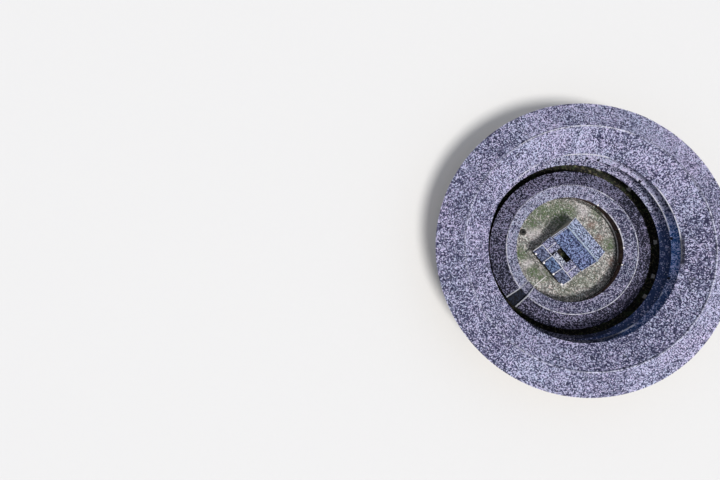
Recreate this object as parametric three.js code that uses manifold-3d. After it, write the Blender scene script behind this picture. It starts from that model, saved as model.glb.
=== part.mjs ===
// Large earth roundhouse (tulou) with an outer ring of four storeys, a one-storey inner ring
// and a hall on three bays in the middle of the court. Half of real size, in millimetres.
// +Z is up, the gate faces -Y, and the origin is the middle of the court at ground level.
import * as THREE from 'three';
import { mergeVertices } from 'three/addons/utils/BufferGeometryUtils.js';
import Module from 'manifold-3d';

const wasm = await Module();
wasm.setup();

// Scale: every driving dimension is a real one in metres
const scale = 0.5;
const metres = (value) => value * 1000 * scale;
const degrees = (value) => THREE.MathUtils.degToRad(value);

// Free gap between two pieces that touch, and how far a cutter runs past the faces it cuts
const seat = 0.3;
const pastFaces = metres(0.3);

// Two vertices closer than this are one
const sameVertex = 1e-3;

// Bays: one facet of the ring is one bay, and a bay is centred on the gate
const bays = 60;
const fullTurn = 2 * Math.PI;
const bayAngle = fullTurn / bays;
const firstPost = bayAngle / 2;
const baysPerDoor = 2;

// Outer ring: the roof, its eaves and its ridge
const eaveRadius = metres(34.75);
const eaveHeight = metres(12.2);
const ridgeRadius = metres(28.3);
const ridgeHeight = metres(15.2);
const courtEaveRadius = metres(22.25);
const courtEaveHeight = metres(12.2);
const roofDepth = metres(0.25);
const ridgeCapHalf = metres(0.22);
const ridgeCapHeight = metres(0.3);

// Outer ring: the rammed earth wall on its stone plinth
const wallFootRadius = metres(33.0);
const wallTopRadius = metres(32.8);
const wallInnerRadius = metres(31.4);
const plinthRadius = metres(33.1);
const plinthHeight = metres(1.2);
const courtFloorTop = metres(0.15);

// Outer ring: storeys, given by the tops of their floors
const floorTops = [courtFloorTop, metres(3.0), metres(5.8), metres(8.9)];
const floorDepth = metres(0.25);
const roomFrontRadius = metres(26.0);
const roomFrontDepth = metres(0.15);
const doorWidth = metres(0.9);
const doorHeight = metres(1.95);

// Outer ring: posts, parapets and pent roofs of the galleries
const postFrontRadius = metres(24.12);
const postSize = metres(0.26);
const plateHeight = metres(0.35);
const parapetDepth = metres(0.08);
const parapetHeight = metres(0.95);
const pentDepth = metres(0.16);
const pentUpper = { radius: metres(22.0), eave: metres(8.95), top: metres(9.85) };
const pentLower = { radius: metres(21.3), eave: metres(5.35), top: metres(6.55) };

// Windows of the two upper storeys: every bay above, every second bay below
const windowUpper = { width: metres(0.6), height: metres(0.9), sill: metres(9.9) };
const windowLower = { width: metres(0.5), height: metres(0.75), sill: metres(6.8) };
const baysPerLowerWindow = 2;

// Gate
const gateHeight = metres(3.2);
const gateWidth = metres(1.9);
const gateSpring = metres(1.7);
const leafWidth = metres(0.93);
const leafHeight = metres(2.55);
const leafDepth = metres(0.1);

// Inner ring of kitchens
const innerFacets = 40;
const innerEave = { radius: metres(20.0), height: metres(3.6) };
const innerRidge = { radius: metres(16.2), height: metres(5.0) };
const innerCourtEave = { radius: metres(13.3), height: metres(3.7) };
const innerRoofDepth = metres(0.2);
const innerWallRadius = metres(19.2);
const innerCourtWallRadius = metres(13.85);
const innerWallDepth = metres(0.25);
const firstInnerDoor = 1;
const facetsPerInnerDoor = 4;
const innerCapHalf = metres(0.18);
const innerCapHeight = metres(0.16);
const passageCentre = degrees(2.5);
const passageHalf = degrees(5.1);
const passageWallAngle = degrees(0.85);
const vergeRise = metres(0.15);
const passageRidge = { radius: metres(16.0), height: metres(4.45) };
const passageEave = { radius: metres(20.15), height: metres(3.3) };
const passageCourtEave = { radius: metres(13.1), height: metres(3.35) };

// Court: path from the passage to the hall, and the well
const path = { left: metres(-0.75), right: metres(2.15) };
const pathDepth = metres(0.1);
const pathStart = metres(13.2);
const wellCentre = { x: metres(-10.3), y: metres(-5.2) };
const wellRadius = metres(0.62);
const wellMouth = metres(0.4);
const wellHeight = metres(0.35);

// Hall: platform and walls
const hallCentre = metres(0.2);
const platform = { half: metres(6.1), front: metres(-8.0), back: metres(6.6), top: metres(0.6) };
const hallWallHalf = metres(5.35);
const hallWallDepth = metres(0.3);
const hallWallFront = metres(-6.6);
const hallWallBack = metres(5.4);
const hallDoorWidth = metres(1.9);
const hallDoorHeight = metres(2.4);
const hallWindow = { width: metres(1.3), height: metres(1.1), sill: metres(1.0), offset: metres(3.5) };

// Hall: roofs, with the side along the ridges, the rear hall, the front range and the wings
const hallRoofHalf = metres(5.65);
const hallRoofDepth = metres(0.2);
const rearFront = { y: metres(-1.6), z: metres(4.5) };
const rearRidge = { y: metres(2.2), z: metres(6.9) };
const rearBack = { y: metres(6.1), z: metres(4.5) };
const rearCap = { half: metres(0.14), height: metres(0.28) };
const frontEave = { y: metres(-7.4), z: metres(3.5) };
const frontRidge = { y: metres(-4.8), z: metres(4.7) };
const frontPanelFoot = metres(3.3);
const frontPanelDepth = metres(0.18);
const centreHalf = metres(1.95);
const centreRise = metres(0.3);
const centreBack = { y: metres(-3.0), z: metres(4.15) };
const wing = { eave: metres(3.6), ridge: metres(4.15), back: metres(-1.5) };
const column = { size: metres(0.28), beam: metres(0.26) };
const rearColumnsY = metres(-1.3);
const frontColumnsY = metres(-3.2);

// Colours and surfaces, from the photograph
const surface = (color, roughness) => new THREE.MeshStandardMaterial({ color, roughness, metalness: 0 });
const roofTile = surface(0x7d7b86, 0.85);
const limeRidge = surface(0xb9b6ba, 0.8);
const rammedEarth = surface(0xb79a6b, 0.95);
const fieldStone = surface(0x8b8a80, 0.9);
const courtStone = surface(0x9a9688, 0.9);
const darkTimber = surface(0x4a3527, 0.8);
const whitewash = surface(0xcfcabd, 0.9);
const slate = surface(0x5d6670, 0.8);

const house = new THREE.Group();

// Adds one named piece to the house
function piece(name, geometry, material, parent = house) {
  const mesh = new THREE.Mesh(geometry, material);
  mesh.name = name;
  parent.add(mesh);
  return mesh;
}

// Keeps only positions and joins vertices at the same place
function joined(geometry) {
  const plain = geometry.clone();
  plain.deleteAttribute('normal');
  plain.deleteAttribute('uv');
  return mergeVertices(plain, sameVertex);
}

// A profile of [radius, height] points swept about the centre from one angle to another,
// counted from the gate towards +X. The ends of an open arc are closed by the profile.
function ringSolid(profile, start, end, facets) {
  const points = profile.map(([radius, height]) => new THREE.Vector2(radius, height));
  const whole = end - start >= fullTurn;
  const trim = whole ? 0 : seat / 2 / profile[0][0];
  const first = start + trim;
  const last = end - trim;
  const loop = [...points, points[0]];
  const sweep = new THREE.LatheGeometry(loop, facets, first, last - first);
  if (!whole) {
    const corners = [...sweep.getIndex().array];
    const lastColumn = facets * loop.length;
    for (const [a, b, c] of THREE.ShapeUtils.triangulateShape(points, [])) {
      corners.push(a, b, c, lastColumn + a, lastColumn + c, lastColumn + b);
    }
    sweep.setIndex(corners);
  }
  sweep.rotateX(Math.PI / 2);
  return joined(sweep);
}

// A full ring with one facet for each bay
function bayRing(profile) {
  const ring = ringSolid(profile, 0, fullTurn, bays);
  return ring.rotateZ(firstPost);
}

// An arc of whole bays: bay 0 is the gate's bay
const bayArc = (profile, bay, count) => (
  ringSolid(profile, (bay - 0.5) * bayAngle, (bay - 0.5 + count) * bayAngle, count));

// An outline of [x or y, z] points extruded along Y or along X
function outlineAlongY(outline, front, back, holes = []) {
  const shape = new THREE.Shape(outline.map(([x, z]) => new THREE.Vector2(x, z)));
  for (const hole of holes) shape.holes.push(new THREE.Path(hole.map(([x, z]) => new THREE.Vector2(x, z))));
  const geometry = new THREE.ExtrudeGeometry(shape, { depth: back - front, bevelEnabled: false });
  geometry.rotateX(Math.PI / 2);
  geometry.translate(0, back, 0);
  return geometry;
}

function outlineAlongX(outline, left, right) {
  const shape = new THREE.Shape(outline.map(([y, z]) => new THREE.Vector2(y, z)));
  const geometry = new THREE.ExtrudeGeometry(shape, { depth: right - left, bevelEnabled: false });
  geometry.rotateX(Math.PI / 2);
  geometry.rotateZ(Math.PI / 2);
  geometry.translate(left, 0, 0);
  return geometry;
}

function box(left, right, front, back, foot, top) {
  const geometry = new THREE.BoxGeometry(right - left, back - front, top - foot);
  geometry.translate((left + right) / 2, (front + back) / 2, (foot + top) / 2);
  return geometry;
}

// A box that is turned to face outwards at an angle from the gate
function turnedBox(angle, width, innerRadius, outerRadius, foot, top) {
  const geometry = box(-width / 2, width / 2, -outerRadius, -innerRadius, foot, top);
  geometry.rotateZ(angle);
  return geometry;
}

// Cuts and joins
function solid(geometry) {
  const plain = joined(geometry);
  return new wasm.Manifold(new wasm.Mesh({
    numProp: 3,
    vertProperties: new Float32Array(plain.getAttribute('position').array),
    triVerts: new Uint32Array(plain.getIndex().array),
  }));
}

function fromSolid(manifold) {
  const mesh = manifold.getMesh();
  const geometry = new THREE.BufferGeometry();
  geometry.setAttribute('position', new THREE.BufferAttribute(mesh.vertProperties, mesh.numProp));
  geometry.setIndex(new THREE.BufferAttribute(mesh.triVerts, 1));
  return geometry;
}

function cut(geometry, cutters) {
  let result = solid(geometry);
  for (const cutter of cutters) result = result.subtract(solid(cutter));
  return fromSolid(result);
}

function fused(geometries) {
  let result = solid(geometries[0]);
  for (const other of geometries.slice(1)) result = result.add(solid(other));
  return fromSolid(result);
}

// Heights of the undersides of the outer ring's roof
const outerPitch = (ridgeHeight - eaveHeight) / (eaveRadius - ridgeRadius);
const courtPitch = (ridgeHeight - courtEaveHeight) / (ridgeRadius - courtEaveRadius);
const underOuterSlope = (radius) => ridgeHeight - (radius - ridgeRadius) * outerPitch - roofDepth - seat;
const underCourtSlope = (radius) => ridgeHeight - (ridgeRadius - radius) * courtPitch - roofDepth - seat;

// Stone plinth, open at the gate's bay
piece('stone_plinth', bayArc([
  [wallInnerRadius, 0],
  [plinthRadius, 0],
  [plinthRadius, plinthHeight],
  [wallInnerRadius, plinthHeight],
], 1, bays - 1), fieldStone);

// Earth wall above the plinth, in arcs, with a window in every bay of the top storey
const wallHeadHeight = underOuterSlope(wallTopRadius);
const wallBatter = (wallFootRadius - wallTopRadius) / (wallHeadHeight - plinthHeight);
const wallRadius = (height) => wallFootRadius - (height - plinthHeight) * wallBatter;
const upToRoof = (foot) => [
  [wallInnerRadius, foot],
  [wallRadius(foot), foot],
  [wallTopRadius, wallHeadHeight],
  [wallInnerRadius, underOuterSlope(wallInnerRadius)],
];
const upTo = (foot, top) => [
  [wallInnerRadius, foot],
  [wallRadius(foot), foot],
  [wallRadius(top), top],
  [wallInnerRadius, top],
];

const windowCutter = (bay, opening) => (
  turnedBox(bay * bayAngle, opening.width, wallInnerRadius - pastFaces,
    wallFootRadius + pastFaces, opening.sill, opening.sill + opening.height));

function windowCutters(bay, count, opening, baysPerWindow) {
  const cutters = [];
  for (let i = bay; i < bay + count; i += 1) {
    if (i % baysPerWindow === 0) cutters.push(windowCutter(i, opening));
  }
  return cutters;
}

const upperCutters = (bay, count) => windowCutters(bay, count, windowUpper, 1);
const lowerCutters = (bay, count) => windowCutters(bay, count, windowLower, baysPerLowerWindow);
const wallPiece = (name, profile, bay, count, cutters) => (
  piece(`earth_wall_${name}`, cut(bayArc(profile, bay, count), cutters), rammedEarth));

// Three bays each at the front, the sides and the back, in two lifts that meet at the top storey's
// floor, with a long arc between them. The lower lift at the front rests on the gate frame
const sideBays = 3;
const overGateGap = seat / wallInnerRadius;
const overGate = ringSolid([
  [wallInnerRadius - pastFaces, 0],
  [wallFootRadius + pastFaces, 0],
  [wallFootRadius + pastFaces, gateHeight + seat],
  [wallInnerRadius - pastFaces, gateHeight + seat],
], -bayAngle / 2 - overGateGap, bayAngle / 2 + overGateGap, 1);
const wallFoot = plinthHeight + seat;
const liftTop = floorTops[floorTops.length - 1];
const sides = ['front', 'right', 'back', 'left'];
const quarter = bays / sides.length;
sides.forEach((side, index) => {
  const bay = index * quarter - (sideBays - 1) / 2;
  wallPiece(`${side}_lower`, upTo(wallFoot, liftTop), bay, sideBays,
    [overGate, ...lowerCutters(bay, sideBays)]);
  wallPiece(`${side}_upper`, upToRoof(liftTop + seat), bay, sideBays, upperCutters(bay, sideBays));
  const arcBay = bay + sideBays;
  const arcBays = quarter - sideBays;
  wallPiece(`${side}_${sides[(index + 1) % sides.length]}`, upToRoof(wallFoot), arcBay, arcBays,
    [...upperCutters(arcBay, arcBays), ...lowerCutters(arcBay, arcBays)]);
});

// Gate frame of dressed stone, with a round arch and a sill
function archOutline(half, foot, spring) {
  const outline = [[-half, foot], [half, foot], [half, spring]];
  const archSteps = 10;
  for (let i = 1; i < archSteps; i += 1) {
    const angle = Math.PI * i / archSteps;
    outline.push([half * Math.cos(angle), spring + half * Math.sin(angle)]);
  }
  outline.push([-half, spring]);
  return outline;
}

const gateBlock = bayArc([
  [wallInnerRadius, 0],
  [plinthRadius, 0],
  [plinthRadius, gateHeight],
  [wallInnerRadius, gateHeight],
], 0, 1);
const gateMouth = outlineAlongY(archOutline(gateWidth / 2, courtFloorTop, gateSpring),
  -plinthRadius - pastFaces, -wallInnerRadius + pastFaces);
piece('gate_frame', cut(gateBlock, [gateMouth]), fieldStone);

// Gate leaves, fixed open: they stand square to the wall behind the frame
const frameBack = -wallInnerRadius * Math.cos(bayAngle / 2) + seat;
for (const [name, side] of [['gate_leaf_left', -1], ['gate_leaf_right', 1]]) {
  const near = side * gateWidth / 2;
  const far = side * (gateWidth / 2 + leafDepth);
  piece(name, box(Math.min(near, far), Math.max(near, far), frameBack, frameBack + leafWidth,
    courtFloorTop + seat, courtFloorTop + seat + leafHeight), darkTimber);
}

// Floor of the court and of the ground storey
const courtFloor = new THREE.CylinderGeometry(wallInnerRadius - seat, wallInnerRadius - seat,
  courtFloorTop, bays, 1, false, firstPost);
courtFloor.rotateX(Math.PI / 2);
courtFloor.translate(0, 0, courtFloorTop / 2);
piece('court_floor', courtFloor, courtStone);

// Posts on the court side with the plate that carries the roof, in two halves that meet
// over the gate and at the back
const postBackRadius = postFrontRadius + postSize;
const plateFoot = underCourtSlope(postFrontRadius) - plateHeight;
const plate = bayRing([
  [postFrontRadius, plateFoot],
  [postBackRadius, plateFoot],
  [postBackRadius, underCourtSlope(postBackRadius)],
  [postFrontRadius, underCourtSlope(postFrontRadius)],
]);
const posts = [plate];
const postTop = plateFoot + plateHeight / 2;
for (let i = 0; i < bays; i += 1) {
  posts.push(turnedBox(firstPost + i * bayAngle, postSize, postFrontRadius, postBackRadius,
    courtFloorTop + seat, postTop));
}
const postRing = fused(posts);
const beyond = eaveRadius;
piece('court_posts_right', cut(postRing, [
  box(-beyond, seat / 2, -beyond, beyond, 0, ridgeHeight),
]), darkTimber);
piece('court_posts_left', cut(postRing, [
  box(-seat / 2, beyond, -beyond, beyond, 0, ridgeHeight),
]), darkTimber);

// Floors of the upper storeys run from the posts to the earth wall
const floorEdgeRadius = postBackRadius + postSize / 2 * Math.tan(bayAngle / 2) + seat;
const floorProfile = (top) => [
  [floorEdgeRadius, top - floorDepth],
  [wallInnerRadius - seat, top - floorDepth],
  [wallInnerRadius - seat, top],
  [floorEdgeRadius, top],
];
floorTops.slice(1).forEach((top, index) => {
  piece(`floor_storey_${index + 2}`, bayRing(floorProfile(top)), darkTimber);
});

// Room fronts behind the galleries, with a doorway in every second bay
const roomBackRadius = roomFrontRadius + roomFrontDepth;
function roomFront(storey) {
  const foot = floorTops[storey - 1] + seat;
  const next = floorTops[storey];
  const top = next === undefined ? underCourtSlope : () => next - floorDepth - seat;
  const profile = [
    [roomFrontRadius, foot],
    [roomBackRadius, foot],
    [roomBackRadius, top(roomBackRadius)],
    [roomFrontRadius, top(roomFrontRadius)],
  ];
  const cutters = [];
  for (let i = 0; i < bays; i += baysPerDoor) {
    cutters.push(turnedBox(i * bayAngle, doorWidth, roomFrontRadius - pastFaces,
      roomBackRadius + pastFaces, foot - pastFaces, foot + doorHeight));
  }
  const gatePassage = storey === 1;
  const whole = gatePassage ? bayArc(profile, 1, bays - 1) : bayRing(profile);
  const doors = gatePassage ? cutters.slice(1) : cutters;
  piece(`room_front_storey_${storey}`, cut(whole, doors), darkTimber);
}
[1, 2, 3, 4].forEach(roomFront);

// Parapets of the three galleries stand on the edge of their floors
const parapetRadius = floorEdgeRadius + seat;
const parapetProfile = (foot) => [
  [parapetRadius, foot],
  [parapetRadius + parapetDepth, foot],
  [parapetRadius + parapetDepth, foot + parapetHeight],
  [parapetRadius, foot + parapetHeight],
];
floorTops.slice(1).forEach((top, index) => {
  piece(`gallery_parapet_${index + 2}`, bayRing(parapetProfile(top + seat)), darkTimber);
});

// Pent roofs hang on the court side of the posts below the two upper galleries
const pentTopRadius = postFrontRadius - seat;
const pentProfile = (pent) => [
  [pent.radius, pent.eave - pentDepth],
  [pentTopRadius, pent.top - pentDepth],
  [pentTopRadius, pent.top],
  [pent.radius, pent.eave],
];
piece('pent_roof_lower', bayRing(pentProfile(pentLower)), roofTile);
piece('pent_roof_upper', bayRing(pentProfile(pentUpper)), roofTile);

// Main roof: two slopes that meet under the lime ridge
piece('main_roof_outer', bayRing([
  [ridgeRadius + seat / 2, ridgeHeight - roofDepth],
  [eaveRadius, eaveHeight - roofDepth],
  [eaveRadius, eaveHeight],
  [ridgeRadius + seat / 2, ridgeHeight],
]), roofTile);
piece('main_roof_court', bayRing([
  [courtEaveRadius, courtEaveHeight - roofDepth],
  [ridgeRadius - seat / 2, ridgeHeight - roofDepth],
  [ridgeRadius - seat / 2, ridgeHeight],
  [courtEaveRadius, courtEaveHeight],
]), roofTile);
const capTaper = 0.6;
const ridgeCap = (ridge, half, rise, outerFall, innerFall) => [
  [ridge.radius - half, ridge.height - half * innerFall + seat],
  [ridge.radius, ridge.height + seat],
  [ridge.radius + half, ridge.height - half * outerFall + seat],
  [ridge.radius + half * capTaper, ridge.height + rise],
  [ridge.radius - half * capTaper, ridge.height + rise],
];
piece('main_ridge', bayRing(ridgeCap({ radius: ridgeRadius, height: ridgeHeight },
  ridgeCapHalf, ridgeCapHeight, outerPitch, courtPitch)), limeRidge);

// Inner ring: it stops at the passage from the gate
const innerPitch = (innerRidge.height - innerEave.height) / (innerEave.radius - innerRidge.radius);
const innerCourtPitch = (innerRidge.height - innerCourtEave.height)
  / (innerRidge.radius - innerCourtEave.radius);
const underInnerSlope = (radius) => (
  innerRidge.height - (radius - innerRidge.radius) * innerPitch - innerRoofDepth - seat);
const underInnerCourtSlope = (radius) => (
  innerRidge.height - (innerRidge.radius - radius) * innerCourtPitch - innerRoofDepth - seat);
const passageRight = passageCentre + passageHalf;
const passageLeft = passageCentre - passageHalf;
const innerArc = (profile) => (
  ringSolid(profile, passageRight, fullTurn + passageLeft, innerFacets));
const innerFoot = courtFloorTop + seat;
const innerStep = (fullTurn - 2 * passageHalf) / innerFacets;

function innerWall(name, radius, under) {
  const outer = radius + innerWallDepth;
  const wall = innerArc([
    [radius, innerFoot],
    [outer, innerFoot],
    [outer, under(outer)],
    [radius, under(radius)],
  ]);
  const doors = [];
  for (let i = firstInnerDoor; i < innerFacets; i += facetsPerInnerDoor) {
    doors.push(turnedBox(passageRight + (i + 0.5) * innerStep, doorWidth, radius - pastFaces,
      outer + pastFaces, innerFoot - pastFaces, innerFoot + doorHeight));
  }
  piece(name, cut(wall, doors), whitewash);
}
innerWall('inner_ring_wall_outer', innerWallRadius, underInnerSlope);
innerWall('inner_ring_wall_court', innerCourtWallRadius, underInnerCourtSlope);
piece('inner_ring_roof_outer', innerArc([
  [innerRidge.radius + seat / 2, innerRidge.height - innerRoofDepth],
  [innerEave.radius, innerEave.height - innerRoofDepth],
  [innerEave.radius, innerEave.height],
  [innerRidge.radius + seat / 2, innerRidge.height],
]), roofTile);
piece('inner_ring_roof_court', innerArc([
  [innerCourtEave.radius, innerCourtEave.height - innerRoofDepth],
  [innerRidge.radius - seat / 2, innerRidge.height - innerRoofDepth],
  [innerRidge.radius - seat / 2, innerRidge.height],
  [innerCourtEave.radius, innerCourtEave.height],
]), roofTile);
piece('inner_ring_ridge', innerArc(ridgeCap(innerRidge, innerCapHalf, innerCapHeight,
  innerPitch, innerCourtPitch)), limeRidge);

// Gable walls of the passage, with lime verges that stand above the roof
const vergeOverhang = metres(0.06);
const passageWallProfile = [
  [innerCourtWallRadius, innerFoot],
  [innerWallRadius + innerWallDepth, innerFoot],
  [innerWallRadius + innerWallDepth, underInnerSlope(innerWallRadius + innerWallDepth)],
  [innerEave.radius + vergeOverhang, innerEave.height - innerRoofDepth],
  [innerEave.radius + vergeOverhang, innerEave.height + vergeRise],
  [innerRidge.radius, innerRidge.height + vergeRise],
  [innerCourtEave.radius - vergeOverhang, innerCourtEave.height + vergeRise],
  [innerCourtEave.radius - vergeOverhang, innerCourtEave.height - innerRoofDepth],
  [innerCourtWallRadius, underInnerCourtSlope(innerCourtWallRadius)],
];
piece('passage_wall_right', ringSolid(passageWallProfile,
  passageRight - passageWallAngle, passageRight, 1), whitewash);
piece('passage_wall_left', ringSolid(passageWallProfile,
  passageLeft, passageLeft + passageWallAngle, 1), whitewash);
piece('passage_roof', ringSolid([
  [passageCourtEave.radius, passageCourtEave.height - innerRoofDepth],
  [passageRidge.radius, passageRidge.height - innerRoofDepth],
  [passageEave.radius, passageEave.height - innerRoofDepth],
  [passageEave.radius, passageEave.height],
  [passageRidge.radius, passageRidge.height],
  [passageCourtEave.radius, passageCourtEave.height],
], passageLeft + passageWallAngle, passageRight - passageWallAngle, 1), slate);

// Path of slabs over the court, and the mouth of the well
piece('court_path', box(path.left, path.right, -pathStart, platform.front - seat,
  courtFloorTop + seat, courtFloorTop + pathDepth), fieldStone);
const wellFacets = 12;
const wellKerb = ringSolid([
  [wellMouth, courtFloorTop + seat],
  [wellRadius, courtFloorTop + seat],
  [wellRadius, courtFloorTop + wellHeight],
  [wellMouth, courtFloorTop + wellHeight],
], 0, fullTurn, wellFacets);
wellKerb.translate(wellCentre.x, wellCentre.y, 0);
piece('well_kerb', wellKerb, fieldStone);

// Hall in the middle of the court
const hall = new THREE.Group();
hall.position.x = hallCentre;
house.add(hall);

piece('hall_platform', box(-platform.half, platform.half, platform.front, platform.back,
  courtFloorTop + seat, platform.top), fieldStone, hall);

const rearFrontPitch = (rearRidge.z - rearFront.z) / (rearRidge.y - rearFront.y);
const rearBackPitch = (rearRidge.z - rearBack.z) / (rearBack.y - rearRidge.y);
const frontPitch = (frontRidge.z - frontEave.z) / (frontRidge.y - frontEave.y);
const underRearFront = (y) => rearFront.z + (y - rearFront.y) * rearFrontPitch - hallRoofDepth - seat;
const underRearBack = (y) => rearBack.z + (rearBack.y - y) * rearBackPitch - hallRoofDepth - seat;
const underFront = (y) => frontEave.z + (y - frontEave.y) * frontPitch - hallRoofDepth - seat;
const hallFoot = platform.top + seat;
const wallInside = hallWallHalf - hallWallDepth;
const wingRidgeX = (centreHalf + hallRoofHalf) / 2;
const wingPitch = (wing.ridge - wing.eave) / (hallRoofHalf - wingRidgeX);
const underWing = (x) => wing.eave + (hallRoofHalf - x) * wingPitch - hallRoofDepth - seat;

// Side walls follow the roofs of the front range, the wing and the rear hall
const panelFront = frontRidge.y - frontPanelDepth;
const sideOutline = [
  [hallWallFront, hallFoot],
  [hallWallBack, hallFoot],
  [hallWallBack, underRearBack(hallWallBack)],
  [rearRidge.y, rearRidge.z - hallRoofDepth - seat],
  [wing.back + seat, underRearFront(wing.back + seat)],
  [wing.back + seat, underWing(hallWallHalf)],
  [frontRidge.y + seat, underWing(hallWallHalf)],
  [frontRidge.y + seat, frontPanelFoot - seat],
  [panelFront - seat, frontPanelFoot - seat],
  [panelFront - seat, underFront(panelFront - seat)],
  [hallWallFront, underFront(hallWallFront)],
];
piece('hall_wall_left', outlineAlongX(sideOutline, -hallWallHalf, -wallInside), whitewash, hall);
piece('hall_wall_right', outlineAlongX(sideOutline, wallInside, hallWallHalf), whitewash, hall);
piece('hall_wall_back', box(-wallInside + seat, wallInside - seat, hallWallBack - hallWallDepth,
  hallWallBack, hallFoot, underRearBack(hallWallBack)), whitewash, hall);

// Front wall, raised under the middle bay, with a doorway and two windows
const wallHead = underFront(hallWallFront);
const halfDoor = hallDoorWidth / 2;
const frontOutline = [
  [-wallInside + seat, hallFoot],
  [-halfDoor, hallFoot],
  [-halfDoor, hallFoot + hallDoorHeight],
  [halfDoor, hallFoot + hallDoorHeight],
  [halfDoor, hallFoot],
  [wallInside - seat, hallFoot],
  [wallInside - seat, wallHead],
  [centreHalf - seat, wallHead],
  [centreHalf - seat, wallHead + centreRise],
  [-centreHalf + seat, wallHead + centreRise],
  [-centreHalf + seat, wallHead],
  [-wallInside + seat, wallHead],
];
const windowHole = (side) => {
  const left = side * hallWindow.offset - hallWindow.width / 2;
  const foot = hallFoot + hallWindow.sill;
  return [
    [left, foot],
    [left, foot + hallWindow.height],
    [left + hallWindow.width, foot + hallWindow.height],
    [left + hallWindow.width, foot],
  ];
};
piece('hall_wall_front', outlineAlongY(frontOutline, hallWallFront, hallWallFront + hallWallDepth,
  [windowHole(-1), windowHole(1)]), whitewash, hall);

// Roof of the rear hall and its ridge
piece('hall_roof_rear', outlineAlongX([
  [rearFront.y, rearFront.z - hallRoofDepth],
  [rearRidge.y, rearRidge.z - hallRoofDepth],
  [rearBack.y, rearBack.z - hallRoofDepth],
  [rearBack.y, rearBack.z],
  [rearRidge.y, rearRidge.z],
  [rearFront.y, rearFront.z],
], -hallRoofHalf, hallRoofHalf), roofTile, hall);
piece('hall_ridge_rear', outlineAlongX([
  [rearRidge.y - rearCap.half, rearRidge.z - rearCap.half * rearFrontPitch + seat],
  [rearRidge.y, rearRidge.z + seat],
  [rearRidge.y + rearCap.half, rearRidge.z - rearCap.half * rearBackPitch + seat],
  [rearRidge.y + rearCap.half, rearRidge.z + rearCap.height],
  [rearRidge.y - rearCap.half, rearRidge.z + rearCap.height],
], -hallRoofHalf, hallRoofHalf), limeRidge, hall);

// Roofs of the front range: two side bays with a panel behind the ridge, and the raised middle bay
const sideBay = [
  [frontEave.y, frontEave.z - hallRoofDepth],
  [panelFront, frontEave.z + (panelFront - frontEave.y) * frontPitch - hallRoofDepth],
  [panelFront, frontPanelFoot],
  [frontRidge.y, frontPanelFoot],
  [frontRidge.y, frontRidge.z],
  [frontEave.y, frontEave.z],
];
piece('hall_roof_front_left', outlineAlongX(sideBay, -hallRoofHalf, -centreHalf - seat), roofTile, hall);
piece('hall_roof_front_right', outlineAlongX(sideBay, centreHalf + seat, hallRoofHalf), roofTile, hall);
piece('hall_roof_front_middle', outlineAlongX([
  [frontEave.y, frontEave.z + centreRise - hallRoofDepth],
  [frontRidge.y, frontRidge.z + centreRise - hallRoofDepth],
  [centreBack.y, centreBack.z - hallRoofDepth],
  [centreBack.y, centreBack.z],
  [frontRidge.y, frontRidge.z + centreRise],
  [frontEave.y, frontEave.z + centreRise],
], -centreHalf, centreHalf), slate, hall);

// Roofs of the two wings beside the sky-well, with ridges square to the others
const wingOutline = (side) => {
  const outline = [
    [centreHalf, wing.eave - hallRoofDepth],
    [wingRidgeX, wing.ridge - hallRoofDepth],
    [hallRoofHalf, wing.eave - hallRoofDepth],
    [hallRoofHalf, wing.eave],
    [wingRidgeX, wing.ridge],
    [centreHalf, wing.eave],
  ].map(([x, z]) => [side * x, z]);
  return side > 0 ? outline : outline.reverse();
};
for (const [name, side] of [['hall_roof_wing_left', -1], ['hall_roof_wing_right', 1]]) {
  piece(name, outlineAlongY(wingOutline(side), frontRidge.y + seat, wing.back), roofTile, hall);
}

// Timber frame round the sky-well: four columns and the beams on them
const halfColumn = column.size / 2;
const rearBeamTop = underRearFront(rearColumnsY - halfColumn);
const middleUnder = (y) => (
  centreBack.z + (centreBack.y - y) * (frontRidge.z + centreRise - centreBack.z)
  / (centreBack.y - frontRidge.y) - hallRoofDepth - seat);
const frontBeamTop = middleUnder(frontColumnsY + halfColumn);
const wingBeamTop = wing.eave - hallRoofDepth - seat;
const columnX = centreHalf + halfColumn;
const frame = [
  box(-wallInside + seat, wallInside - seat, rearColumnsY - halfColumn, rearColumnsY + halfColumn,
    rearBeamTop - column.beam, rearBeamTop),
  box(-columnX, columnX, frontColumnsY - halfColumn, frontColumnsY + halfColumn,
    wingBeamTop - column.beam, wingBeamTop),
];
for (const side of [-1, 1]) {
  const left = side * columnX - halfColumn;
  const right = side * columnX + halfColumn;
  frame.push(
    box(left, right, frontColumnsY - halfColumn, frontColumnsY + halfColumn, hallFoot, wingBeamTop),
    box(left, right, rearColumnsY - halfColumn, rearColumnsY + halfColumn, hallFoot, rearBeamTop),
    box(left, right, frontColumnsY, rearColumnsY, wingBeamTop - column.beam, wingBeamTop),
  );
}
// Short struts lift the middle bay's rear edge from the front beam
const strutHalf = centreHalf - column.size;
for (const side of [-1, 1]) {
  frame.push(box(side * strutHalf - halfColumn, side * strutHalf + halfColumn,
    frontColumnsY - halfColumn, frontColumnsY + halfColumn, wingBeamTop - column.beam / 2, frontBeamTop));
}
piece('hall_frame', fused(frame), darkTimber, hall);

export default house;
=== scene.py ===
import math
import random

import bmesh
import bpy
from bpy.props import FloatProperty, FloatVectorProperty, PointerProperty
from mathutils import Matrix, Vector, noise


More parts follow.
